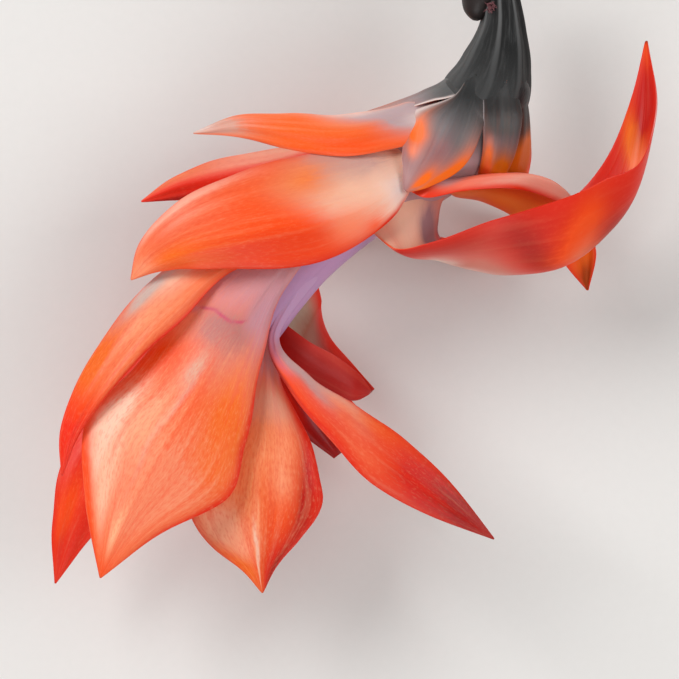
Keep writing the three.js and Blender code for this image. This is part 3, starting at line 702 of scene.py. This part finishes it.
grow_tepal(
    "outer_tepal_left_back",
    ribbed(
        rib=[(8, 21.4, 13.2), (0, 22, 12.6), (-7, 20.6, 12.2), (-13.4, 19.4, 12), (-19, 18.2, 12.2),
             (-23.7, 16.5, 12.6)],
        half=[3, 2.4, 2.6, 2.6, 1.6, 0.1], cup=[60, 50, 40], roll=[30, 10, 0],
    ),
    32.5, 2.6, PEACH, SCARLET,
    [
        # Painted sheen: the pale top of the tepal.
        touch(paint(255, 160, 136), 0.46, 0.75, 0.26, 0.4, 1.8),
        touch(SALMON, 0.8, 0.85, 0.2, 0.4, 1.0),
        touch(PEACH, 0.4, 1.0, 0.14, 0.3, 0.8),
        touch(RED, 0.85, -0.2, 0.2, 0.4, 0.9),
        # The deep red lower zone is partly the red margin and partly painted shade where outer_tepal_left
        # lies over it.
        touch(DEEP_RED, 0.72, -0.85, 0.3, 0.35, 1.1),
    ],
    pale_to=0.2, red_edge=0.4,
)
grow_tepal(
    "outer_tepal_right_upper",
    channel(
        near=[(7.7, 17.3, 22.6), (10.4, 16.6, 22.7), (14.5, 17.4, 22), (20, 17.8, 19.4), (24.4, 17, 16),
              (28.4, 14.8, 13), (30.7, 10.8, 11.4), (29.9, 5.9, 10.6)],
        fold=[(10, 18.8, 21.8), (13.5, 18.8, 21.4), (18, 19.3, 19.6), (22.3, 19.3, 16.8), (25.9, 18, 14),
              (28.3, 14.8, 12), (29.4, 10.4, 10.8), (29.8, 5.9, 10.4)],
        far=[(12.6, 17.6, 19.6), (13.8, 16.9, 17.6), (17, 16.3, 16.2), (20, 15, 14.8), (23.2, 12.8, 13),
             (25.6, 11, 11.6), (27.5, 8.4, 10.6), (29.7, 5.9, 10.2)],
    ),
    31.0, 4.0, SCARLET, SCARLET,
    [
        touch(paint(255, 128, 40), 0.34, 0.75, 0.3, 0.45, 2.0),
        touch(paint(255, 150, 60), 0.3, 1.0, 0.2, 0.3, 2.0),
        # Painted highlight along the lit lower margin.
        touch(PALE_VEIN_AND_HIGHLIGHT, 0.28, 1.05, 0.14, 0.08, 1.0),
        touch(ORANGE, 0.88, 0.0, 0.05, 0.9, 1.2),
        touch(paint(180, 72, 4), 0.96, 0.0, 0.06, 0.9, 1.4),
        touch(MAUVE, 0.17, -0.35, 0.06, 0.3, 1.6, 0.0, 0),
        touch(RED, 0.16, -1.0, 0.14, 0.25, 1.2, 0.0, 0),
        touch(paint(255, 116, 86), 0.34, -0.6, 0.16, 0.5, 1.5, 0.0, 0),
        touch(paint(255, 176, 154), 0.52, -0.7, 0.16, 0.3, 1.6, 0.0, 0),
        touch(paint(240, 62, 22), 0.36, -1.04, 0.3, 0.16, 1.4, 0.0, 0),
    ],
    inner=CORAL, pale_to=0.02, red_edge=0.5, lively=0.1,
)
grow_tepal(
    "outer_tepal_right_lower",
    channel(
        near=[(3.4, 12.6, 20.2), (6.2, 10.7, 22.6), (10, 11.1, 23.6), (15, 12.9, 24.4), (20, 14.6, 24.8),
              (26, 16.4, 24.6), (31, 18.7, 23.6), (35.4, 21, 21.4), (37.5, 27.5, 18.6), (36.5, 35.3, 17.4)],
        fold=[(7.4, 18.2, 21.4), (8.3, 10.9, 20.4), (12, 9.5, 19.4), (16, 8.4, 19.2), (20, 7.9, 19.2),
              (26, 8.7, 19.2), (30.8, 11.9, 18.8), (34.5, 17, 18), (36.1, 26, 17), (36.4, 35.4, 17.1)],
        far=[(13.6, 19, 19.4), (11.7, 14.2, 17.8), (12.3, 11.8, 16.6), (16, 11, 16), (20, 11.8, 16),
             (25, 15.4, 16.2), (28.8, 17.8, 16.4), (32.2, 22.5, 16.6), (34.7, 29, 16.6), (36.2, 35.3, 16.9)],
    ),
    52.0, 6.5, PEACH, RED,
    [
        # The deep red on the near wall, here and in the deep red touches below, is partly the tepal's own
        # deeper red and partly painted shade.
        touch(DEEP_RED, 0.3, -0.75, 0.22, 0.3, 0.5),
        touch(paint(236, 204, 190), 0.24, 0.0, 0.08, 0.4, 2.0),
        touch(paint(212, 122, 106), 0.36, -0.05, 0.09, 0.45, 1.6),
        touch(paint(232, 188, 176), 0.33, 0.1, 0.12, 0.2, 1.2),
        touch(DEEP_RED, 0.5, -0.45, 0.04, 0.6, 0.7, 0.1),
        touch(FLAME, 0.6, -0.5, 0.05, 0.4, 1.6, -0.06),
        touch(CORAL, 0.64, -0.15, 0.06, 0.35, 1.0),
        touch(SALMON, 0.61, -0.25, 0.03, 0.25, 0.5),
        touch(DEEP_RED, 0.7, -0.1, 0.08, 0.5, 0.9),
        touch(PEACH, 0.08, -0.3, 0.09, 1.1, 2.2, 0.0, 0),
        touch(BLUSH, 0.09, -0.5, 0.07, 0.3, 0.6, 0.0, 0),
        # Painted shade: a soft mauve shadow on the claw.
        touch(paint(158, 124, 128), 0.12, 0.65, 0.08, 0.24, 1.6, 0.0, 0),
        touch(FLAME, 0.12, -1.03, 0.06, 0.1, 1.4, 0.0, 0),
        # Painted shade: a dim mauve-grey edge along the claw's far margin.
        touch(paint(120, 84, 92), 0.14, 1.02, 0.08, 0.1, 1.2, 0.0, 0),
        touch(paint(255, 124, 20), 0.845, 0.3, 0.03, 0.5, 2.2, 0.0, 0),
        touch(SALMON, 0.82, -0.2, 0.03, 0.5, 1.2, 0.0, 0),
        touch(FLAME, 0.985, 0.0, 0.025, 0.9, 1.1, 0.0, 0),
        touch(paint(196, 18, 8), 0.91, -0.1, 0.05, 0.8, 1.8, 0.0, 0),
        touch(PALE, 0.86, -1.04, 0.05, 0.04, 1.0, 0.0, 0),
    ],
    inner=paint(222, 40, 18), pale_to=0.1, red_edge=0.4, lively=0.1, crease=0.05,
)
grow_tepal(
    "outer_strap_under",
    ribbed(
        rib=[(11.2, 26.4, 12.8), (5.5, 25.4, 10.4), (0, 25, 9), (-5, 25.2, 8.6), (-9.5, 25.3, 9)],
        half=[1.6, 2.1, 2, 1.5, 0.1], roll=[180, 180], cup=[60, 50],
    ),
    21.5, 2.0, MAUVE, FLAME, [touch(PALE, 0.96, 0.3, 0.12, 0.9, 1.2)], inner=ORANGE,
)
grow_tepal(
    "outer_tepal_left_under",
    ribbed(
        rib=[(8, 20, 12.6), (3, 19.6, 9), (-3, 18.8, 5.2), (-9, 18.2, 1.6), (-14, 17.4, 0.1),
             (-19, 16.2, 1.4)],
        half=[3, 4.2, 5, 4.4, 3.2, 0.1], roll=[180, 180], cup=[60, 60, 40],
    ),
    30.5, 4.6, PEACH, CORAL,
    [touch(SALMON, 0.6, 0.4, 0.25, 0.4, 0.8), touch(FLAME, 0.5, -0.5, 0.25, 0.5, 0.8)],
)
grow_tepal(
    "outer_tepal_right_under",
    ribbed(
        rib=[(8.2, 16.4, 12.8), (9.6, 12.2, 9), (14, 10.9, 5), (19, 11.2, 1.4), (23.5, 13, 0.1),
             (28, 15.6, 1.6)],
        half=[1.8, 1.4, 1.4, 2.4, 2, 0.1], roll=[180, 180], cup=[60, 60, 40],
    ),
    27.0, 2.2, PEACH, CORAL, [touch(SALMON, 0.6, 0.2, 0.25, 0.5, 0.7)],
)

# The inner tepals
# The broad petals of the flower. They flare from the mouth of the tube, lavender at the claw, then
# coral with fine streaks and painted glints on their cells, with red margins and a drawn-out tip.
ROSE = paint(206, 142, 142)
LAVENDER = paint(192, 148, 184)
CRIMSON = paint(198, 66, 104)

grow_tepal(
    "inner_tepal_left",
    ribbed(
        rib=[(-7.5, 11.6, 20.8), (-14, 8.6, 22.6), (-19.8, 4.4, 24.8), (-24.3, -0.4, 26.2),
             (-28.3, -5.8, 26.2), (-31.1, -10.9, 25), (-32.5, -15.9, 23)],
        left=[1.6, 1.3, 2.6, 2.1, 1.5, 0.8, 0.1], right=[2.8, 3.8, 4.2, 3.8, 3, 1.8, 0.1],
        cup=[60, 70, 80, 80, 60], roll=[10, 16, 16, 10, 0],
    ),
    38.0, 3.4, CORAL, paint(250, 108, 56),
    [
        touch(paint(246, 132, 88), 0.36, 0.0, 0.18, 0.6, 1.3),
        touch(PEACH, 0.27, 0.5, 0.08, 0.4, 1.0),
        # Painted sheen: a pale grey patch high on the upper-left side.
        touch(paint(204, 180, 170), 0.36, 0.75, 0.09, 0.28, 1.5, -0.05),
        touch(BLUSH, 0.48, 0.85, 0.06, 0.2, 0.9),
        # A faint painted highlight near the midrib.
        touch(PALE_VEIN_AND_HIGHLIGHT, 0.44, 0.1, 0.1, 0.3, 0.3),
        touch(ORANGE, 0.62, 0.6, 0.12, 0.4, 1.6),
        touch(SALMON, 0.56, -0.2, 0.1, 0.3, 0.5),
        touch(FLAME, 0.8, 0.2, 0.1, 1.2, 1.6),
        touch(paint(246, 40, 8), 0.93, 0.2, 0.14, 1.2, 2.2),
        touch(RED, 0.5, -1.0, 0.4, 0.16, 1.3),
        touch(RED, 0.9, -0.9, 0.2, 0.5, 1.2),
    ],
    pale_to=0.15, red_edge=0.45, lively=0.6, ripple=0.03,
)
grow_tepal(
    "inner_tepal_front",
    ribbed(
        rib=[(-3.6, 12, 22.3), (-8.6, 6, 22.9), (-13, -0.6, 24), (-17.1, -7.1, 25.2), (-21.2, -13.8, 26),
             (-24.8, -20.8, 26), (-27.9, -27.8, 25.2)],
        left=[1.6, 2.1, 4.8, 8, 9.8, 4.5, 0.1], right=[4, 5.2, 7.4, 8.2, 9.9, 5.6, 0.1],
        cup=[60, 60, 60, 50, 40],
    ),
    47.0, 8.5, paint(202, 142, 146), paint(248, 104, 54),
    [
        touch(paint(190, 138, 152), 0.24, -0.5, 0.1, 0.5, 0.9),
        touch(paint(184, 118, 114), 0.32, 0.1, 0.05, 0.6, 1.6),
        touch(BLUSH, 0.38, -0.3, 0.06, 0.6, 1.0),
        touch(paint(246, 128, 84), 0.42, -0.4, 0.06, 0.4, 0.8),
        touch(SALMON, 0.34, 0.75, 0.06, 0.2, 0.8),
        touch(FLAME, 0.46, 0.8, 0.06, 0.25, 1.5, 0.1),
        touch(ORANGE, 0.54, -0.6, 0.14, 0.35, 1.6),
        touch(paint(246, 134, 96), 0.75, -0.1, 0.14, 0.6, 1.7),
        # Painted sheen: a pale grey-lilac streak along the midrib, here and in the next line.
        touch(paint(222, 172, 150), 0.44, 0.24, 0.05, 0.12, 0.9, -0.08),
        touch(paint(214, 172, 162), 0.58, 0.16, 0.12, 0.035, 0.7, -0.15),
        touch(paint(252, 160, 118), 0.6, 0.35, 0.1, 0.25, 1.2),
        # Painted highlight on the left shoulder, here and in the next line.
        touch(paint(255, 200, 172), 0.67, 0.74, 0.1, 0.14, 2.0, 0.05),
        touch(paint(255, 184, 150), 0.78, 0.55, 0.1, 0.14, 1.2),
        # Painted highlight along the midline near the tip.
        touch(PALE_VEIN_AND_HIGHLIGHT, 0.88, 0.12, 0.06, 0.1, 0.8),
        touch(FLAME, 0.99, 0.0, 0.04, 1.0, 1.0),
        touch(RED, 0.62, -1.02, 0.4, 0.1, 1.4),
        touch(RED, 0.86, 1.0, 0.16, 0.12, 1.0),
        touch(FLAME, 0.8, 0.95, 0.14, 0.14, 1.2),
        touch(CRIMSON, 0.272, 0.05, 0.005, 0.14, 0.8, 0.07),
        touch(CRIMSON, 0.281, 0.34, 0.005, 0.16, 0.9, -0.02),
        touch(CRIMSON, 0.283, 0.62, 0.005, 0.16, 0.8, 0.05),
        touch(ROSE, 0.3, 0.86, 0.01, 0.16, 0.7),
    ],
    margin=paint(246, 66, 28), pale_to=0.28, red_edge=0.35, lively=0.7,
)
grow_tepal(
    "inner_tepal_right",
    ribbed(
        rib=[(-1.2, 10.2, 20.4), (-7.6, 0.6, 20.4), (-4.4, -5.2, 21.4), (0.7, -9.8, 22.6), (5.9, -14.2, 23),
             (11.9, -18.8, 22.2), (18.2, -23.5, 20.2)],
        left=[1.7, 0.8, 1.5, 2.7, 3.3, 2.4, 0.1], right=[1.5, 0.7, 1.7, 2.7, 3.5, 2.4, 0.1],
        cup=[60, 60, 60], roll=[-20, -10, 0],
    ),
    46.0, 2.8, LAVENDER, paint(236, 72, 26),
    [
        touch(paint(196, 160, 160), 0.27, -0.6, 0.06, 0.5, 1.6),
        touch(paint(192, 158, 154), 0.38, -0.6, 0.1, 0.5, 2.0, 0.1),
        touch(paint(220, 158, 136), 0.47, -0.65, 0.07, 0.4, 1.1, 0.1),
        touch(FLAME, 0.33, 0.85, 0.1, 0.3, 1.3),
        touch(SALMON, 0.5, -0.1, 0.06, 0.5, 0.9, 0.1),
        touch(ORANGE, 0.56, -0.6, 0.08, 0.35, 0.5),
        touch(paint(250, 130, 84), 0.6, 0.4, 0.07, 0.3, 0.5),
        touch(paint(222, 62, 30), 0.5, 0.2, 0.14, 0.8, 0.7),
        touch(RED, 0.46, 0.95, 0.16, 0.25, 1.6),
        touch(paint(210, 30, 12), 0.8, 0.0, 0.12, 1.0, 1.5),
        touch(paint(160, 8, 4), 0.97, 0.0, 0.14, 1.2, 2.0),
        touch(paint(150, 40, 34), 0.25, 1.0, 0.1, 0.22, 1.5),
    ],
    pale_to=0.24, red_edge=0.5, lively=0.4, grown=0.24, ripple=0.04, crease=0.03,
)
grow_tepal(
    "inner_tepal_middle",
    ribbed(
        rib=[(-8.2, 1.2, 19.4), (-8.6, -5, 19.8), (-9, -11.6, 20.6), (-9.6, -18.4, 21), (-9.5, -24.5, 20.6),
             (-9.1, -29.9, 19.4)],
        left=[0.8, 1.1, 1.8, 3.8, 5.8, 7.2, 7.9, 7, 4.7, 1.9, 0.1],
        right=[1.4, 1.8, 2.4, 3.9, 5.6, 7.3, 8.5, 8, 5.9, 2.3, 0.1],
        cup=[50, 50, 50], keel=[0, 0, 0, 0.2, 0.25],
    ),
    31.0, 6.0, ROSE, paint(238, 92, 34),
    [
        touch(paint(222, 150, 124), 0.3, -0.1, 0.08, 0.8, 1.4),
        touch(paint(246, 134, 86), 0.42, -0.1, 0.1, 0.6, 1.2),
        touch(paint(250, 132, 74), 0.58, 0.5, 0.14, 0.35, 1.2),
        touch(paint(250, 150, 106), 0.54, -0.4, 0.11, 0.18, 1.0),
        # Painted highlight along the midrib.
        touch(PALE_VEIN_AND_HIGHLIGHT, 0.66, 0.0, 0.14, 0.05, 0.6),
        touch(FLAME, 0.7, -0.4, 0.12, 0.3, 0.7),
        touch(paint(250, 138, 84), 0.55, 0.25, 0.16, 0.25, 1.5),
        # Painted highlight: pale patches low on the left side, here and in the next line.
        touch(paint(255, 172, 134), 0.72, 0.55, 0.08, 0.3, 1.5),
        touch(paint(252, 160, 124), 0.8, 0.35, 0.07, 0.25, 0.9),
        # Painted highlight along the midrib near the tip.
        touch(PEACH, 0.84, 0.06, 0.12, 0.04, 1.4),
        touch(paint(182, 14, 2), 0.7, -0.92, 0.28, 0.26, 2.4),
        touch(RED, 0.88, -0.6, 0.12, 0.4, 1.4),
        touch(DEEP_RED, 0.9, -0.8, 0.1, 0.3, 0.9),
        touch(ORANGE, 0.89, 0.6, 0.06, 0.35, 0.9),
        touch(RED, 0.5, -1.0, 0.3, 0.16, 1.5),
    ],
    pale_to=0.2, red_edge=0.7, lively=0.7,
)
grow_tepal(
    "inner_tepal_right_back",
    channel(
        near=[(-7.2, 2.4, 16.6), (-3.6, -0.2, 17), (-0.6, -1.9, 16.2), (2, -3.8, 15.2), (3.8, -6, 13.4)],
        fold=[(-8.2, 1.2, 15.2), (-5.3, -2.9, 14.2), (-2, -5.3, 13.4), (1.3, -7, 13), (3.6, -6.5, 12.8)],
        far=[(-1.4, 7.3, 12.6), (-2.2, 3.8, 12), (-1.1, 0.3, 12), (1.6, -2.9, 12.4), (4.2, -5.9, 12.7)],
    ),
    16.0, 4.0, DEEP_RED, paint(166, 14, 8),
    [
        touch(paint(196, 66, 60), 0.45, -0.95, 0.3, 0.14, 0.8),
        touch(paint(190, 36, 28), 0.85, -0.5, 0.2, 0.4, 0.8),
        touch(paint(186, 168, 148), 0.06, 0.55, 0.14, 0.5, 2.2, 0.0, 0),
        touch(paint(160, 84, 58), 0.26, 0.6, 0.14, 0.4, 1.2, 0.0, 0),
        touch(RED, 0.35, 1.0, 0.5, 0.14, 1.2, 0.0, 0),
    ],
    inner=paint(178, 38, 26), pale_to=0.02, red_edge=0.3, lively=0.1, grown=0.2,
)
grow_tepal(
    "inner_tepal_left_back",
    ribbed(
        rib=[(-10.8, 9.2, 14), (-17.4, 0.2, 14.6), (-23.3, -8.2, 16.4), (-28.6, -15.6, 17),
             (-31.9, -22.4, 16.6), (-33.8, -29, 15.4)],
        left=[1.4, 2.6, 3.6, 4.4, 2.8, 0.1], right=[2, 3.6, 4.4, 4.6, 2.4, 0.1], cup=[60, 40],
    ),
    45.5, 4.0, ROSE, paint(232, 44, 16),
    [touch(FLAME, 0.76, 0.4, 0.1, 0.35, 1.4), touch(RED, 0.92, 0.1, 0.12, 0.8, 0.9)],
    lively=0.3,
)
grow_tepal(
    "inner_tepal_middle_back",
    ribbed(
        rib=[(-8.6, 0.4, 14.2), (-6.4, -4.6, 12.6), (-3.5, -9.6, 12), (-0.2, -13.9, 11.6)],
        half=[1.6, 1.9, 1.9, 0.6], roll=[180, 180], cup=[50, 40],
    ),
    17.0, 1.8, ROSE, DEEP_RED,
    [
        touch(paint(146, 62, 72), 0.62, 0.15, 0.16, 0.5, 0.9, 0.0, 0),
        touch(RED, 0.5, -0.5, 0.2, 0.4, 0.9, 0.0, 0),
    ],
    inner=paint(148, 16, 14), margin=DEEP_RED, lively=0.1,
)
grow_tepal(
    "inner_tepal_under_left",
    ribbed(
        rib=[(-10.4, 8, 12.2), (-15, 5.4, 8.4), (-19.4, 1.2, 6), (-23, -4.4, 5.4), (-25.8, -10.4, 6.6)],
        half=[2.4, 3.4, 3.8, 3, 0.1], roll=[180, 180], cup=[70, 60],
    ),
    26.0, 3.4, ROSE, CORAL,
    [touch(SALMON, 0.55, 0.3, 0.22, 0.5, 0.8), touch(FLAME, 0.6, -0.5, 0.22, 0.5, 0.6)],
    lively=0.5,
)
grow_tepal(
    "inner_tepal_under_front",
    ribbed(
        rib=[(-8.6, 4.6, 12), (-11.2, -1.6, 7), (-13.6, -8, 2.6), (-15.6, -14, 0.1), (-17.4, -20, 1.4)],
        half=[2.6, 4.2, 5.4, 4.4, 0.1], roll=[180, 180], cup=[70, 60, 40],
    ),
    29.0, 4.6, ROSE, CORAL,
    [touch(SALMON, 0.5, 0.0, 0.25, 0.6, 0.8), touch(PALE_VEIN_AND_HIGHLIGHT, 0.7, 0.4, 0.16, 0.3, 0.6)],
    lively=0.6,
)
grow_tepal(
    "inner_tepal_under_right",
    ribbed(
        rib=[(-6.4, 3.4, 12.8), (-5, -2.6, 9.8), (-1.6, -7.8, 7.6), (2.8, -12.4, 7), (7.6, -16.6, 8)],
        half=[1.8, 2, 2.6, 2.4, 0.1], roll=[180, 180], cup=[70, 60],
    ),
    25.5, 2.4, ROSE, CORAL, [touch(FLAME, 0.55, 0.2, 0.22, 0.6, 0.8)], lively=0.5,
)

# The stamens
# A ring of thin pale filaments that stands on the tube's floor and reaches past its mouth. Each
# ends in a small cream anther that tips on the filament's point.
bundle_line = middle_line[4:10] + [(-11.2, 1.4, 16.6), (-13.4, -5, 15.4), (-14.8, -11.6, 14)]
bundle_radius = 1.9
filament_count = 24
filament_radii = [0.2, 0.17, 0.13]
filament_stations = [0.012, 0.2, 0.4, 0.6, 0.8, 1]
filament_sway = 0.25
anther_radius = 0.36
anther_half = 0.7


def bundle_point(u, spread, angle):
    t = tangent(bundle_line, u)
    side = unit(np.cross(UP, t))
    return along(bundle_line, u) + spread * (side * np.cos(angle) + np.cross(t, side) * np.sin(angle))


ring_line = [bundle_point(share, 0, 0) for share in (0.011, 0.02, 0.03)]
u, angle = grid(np.linspace(0, 1, 6), around)
ring_out = swept(ring_line, [bundle_radius + 0.5] * 3, u, angle)
ring_in = swept(ring_line, [bundle_radius - 0.6] * 3, 1 - u, angle)
ring_skin = np.concatenate([ring_out, ring_in, ring_out[:1]])
stamen_shells = [shell(ring_skin, anther=np.zeros(ring_skin.shape[:2]))]
for k in range(filament_count):
    angle_k = 2 * np.pi * (k + 0.5) / filament_count
    reach = 0.86 + 0.08 * np.sin(2.4 * k)
    sway = rng.uniform(-filament_sway, filament_sway, len(filament_stations))
    line = []
    for f, drift in zip(filament_stations, sway):
        spread = bundle_radius * (1 - 0.25 * np.sin(np.pi * f)) + drift * f
        line.append(bundle_point(f * reach, spread, angle_k + drift * f))
    u, angle = grid(np.linspace(0, 1, 40), around[::6])
    stamen_shells.append(shell(swept(line, filament_radii, u, angle), anther=u * 0))
    end = line[-1]
    way = unit(line[-1] - line[-2] + rng.uniform(-1.4, 1.4, 3))
    u, angle = grid(np.linspace(0, 1, 16), around[::5])
    bean = np.sqrt(np.clip(1 - (2 * u - 1) ** 2, 0.001, 1)) * (1 + 0.25 * np.cos(2 * angle))
    anther_line = [end - anther_half * way, end + 0.1 * UP, end + anther_half * way]
    anther = swept(anther_line, [anther_radius] * 2, u, angle, bean)
    stamen_shells.append(shell(anther, anther=u * 0 + 1))

pollen, wire = new_finish("filament_and_pollen")
place = wire.node("TexCoord", output="Object")
dust = wire.node("TexNoise", {}, {"Vector": place, "Scale": 6000.0, "Detail": 2.0})
grains = wire.blend(dust, paint(222, 190, 120), paint(250, 232, 186))
threads = wire.blend(dust, paint(240, 206, 206), paint(250, 232, 228))
colour = wire.blend(wire.fact("anther"), threads, grains)
flesh(wire, colour, 0.45 + 0.3 * dust, dust, 0.04, glow=0.1)
flower_part("stamen_bundle", stamen_shells, pollen, "stamen", "stamens")

# The style
# One smooth magenta rod in the middle of the stamens, longer than they are. It ends in the stigma,
# a few lobes pressed together into a bud.
style_line = [bundle_point(share, 0, 0) for share in (0.011, 0.25, 0.5, 0.75, 0.985)]
stigma_line = [bundle_point(share, 0, 0) for share in (0.98, 0.995, 1.01, 1.025)]
style_radii = [0.6, 0.45, 0.45]
stigma_radii = [0.5, 1.1, 1.2, 0.6]
stigma_lobes = 5

u, angle = grid(np.linspace(0, 1, 80), around[::2])
rod = shell(swept(style_line, style_radii, u, angle), tip=u * 0)
u, angle = grid(np.linspace(0, 1, 28), around)
petals = 1 + 0.25 * np.cos(stigma_lobes * angle)
bud = np.sqrt(np.clip(1 - ((u - 0.5) / 0.52) ** 2, 0, 1))
stigma = shell(swept(stigma_line, stigma_radii, u, angle, petals * bud), tip=u * 0 + 1)

magenta, wire = new_finish("style_magenta")
place = wire.node("TexCoord", output="Object")
fleck = wire.node("TexNoise", {}, {"Vector": place, "Scale": 2500.0, "Detail": 3.0})
colour = wire.blend(fleck, paint(196, 40, 96), paint(226, 88, 130))
flesh(wire, colour, 0.35 + 0.2 * fleck, fleck, 0.03, glow=0.1, coat=0.1)
flower_part("style_and_stigma", [rod, stigma], magenta, "style", "style")

# The stage
# A plain pale surface of matt paper, which the flower lies on, under three soft round studio lights
# and an even light from all round, and a camera straight above.
floor_half = 1.5
floor_drop = 0.00005  # keeps the paper just clear of the tepals that rest on it
fill_light = 0.29
floor_mesh = bpy.data.meshes.new("floor")
corners = [(-1, -1), (1, -1), (1, 1), (-1, 1)]
floor_corners = [(x * floor_half, y * floor_half, -floor_drop) for x, y in corners]
floor_mesh.from_pydata(floor_corners, [], [(0, 1, 2, 3)])
floor = bpy.data.objects.new("floor", floor_mesh)
bpy.context.collection.objects.link(floor)
paper, wire = new_finish("floor_paper")
place = wire.node("TexCoord", output="Object")
tooth_of_paper = wire.node("TexNoise", {}, {"Vector": place, "Scale": 900.0, "Detail": 3.0})
colour = wire.blend(tooth_of_paper, paint(226, 224, 221), paint(229, 227, 224))
matt = wire.node("BsdfPrincipled", {}, {"Base Color": colour, "Roughness": 0.9, "IOR": 1.3})
wire.node("OutputMaterial", {}, {"Surface": matt})
floor_mesh.materials.append(paper)

world = bpy.data.worlds.new("studio")
world.use_nodes = True
world.node_tree.nodes["Background"].inputs["Color"].default_value = (1, 1, 1, 1)
world.node_tree.nodes["Background"].inputs["Strength"].default_value = fill_light
bpy.context.scene.world = world
bpy.context.scene.view_settings.view_transform = "Standard"

softboxes = {
    "softbox_left": ((-0.45, 0.35, 0.55), 0.45, 4.0),
    "softbox_right": ((0.5, 0.1, 0.45), 0.4, 1.5),
    "softbox_front": ((-0.05, -0.6, 0.5), 0.5, 1.8),
}
for name, (place, size, power) in softboxes.items():
    light = bpy.data.lights.new(name, "AREA")
    light.shape = "DISK"
    light.size = size
    light.energy = power
    lamp = bpy.data.objects.new(name, light)
    lamp.location = place
    lamp.rotation_euler = (-Vector(place)).to_track_quat("-Z", "Y").to_euler()
    bpy.context.collection.objects.link(lamp)

# The photograph's frame is taken as this wide at this height above the surface.
frame_width = 0.08
frame_height = 0.02
camera_distance = 0.5
camera = bpy.data.cameras.new("camera")
camera.sensor_width = 36
camera.lens = camera.sensor_width * camera_distance / frame_width
viewpoint = bpy.data.objects.new("camera", camera)
viewpoint.location = (-CENTRE[0] / 1000, -CENTRE[1] / 1000, frame_height + camera_distance)
bpy.context.collection.objects.link(viewpoint)
bpy.context.scene.camera = viewpoint
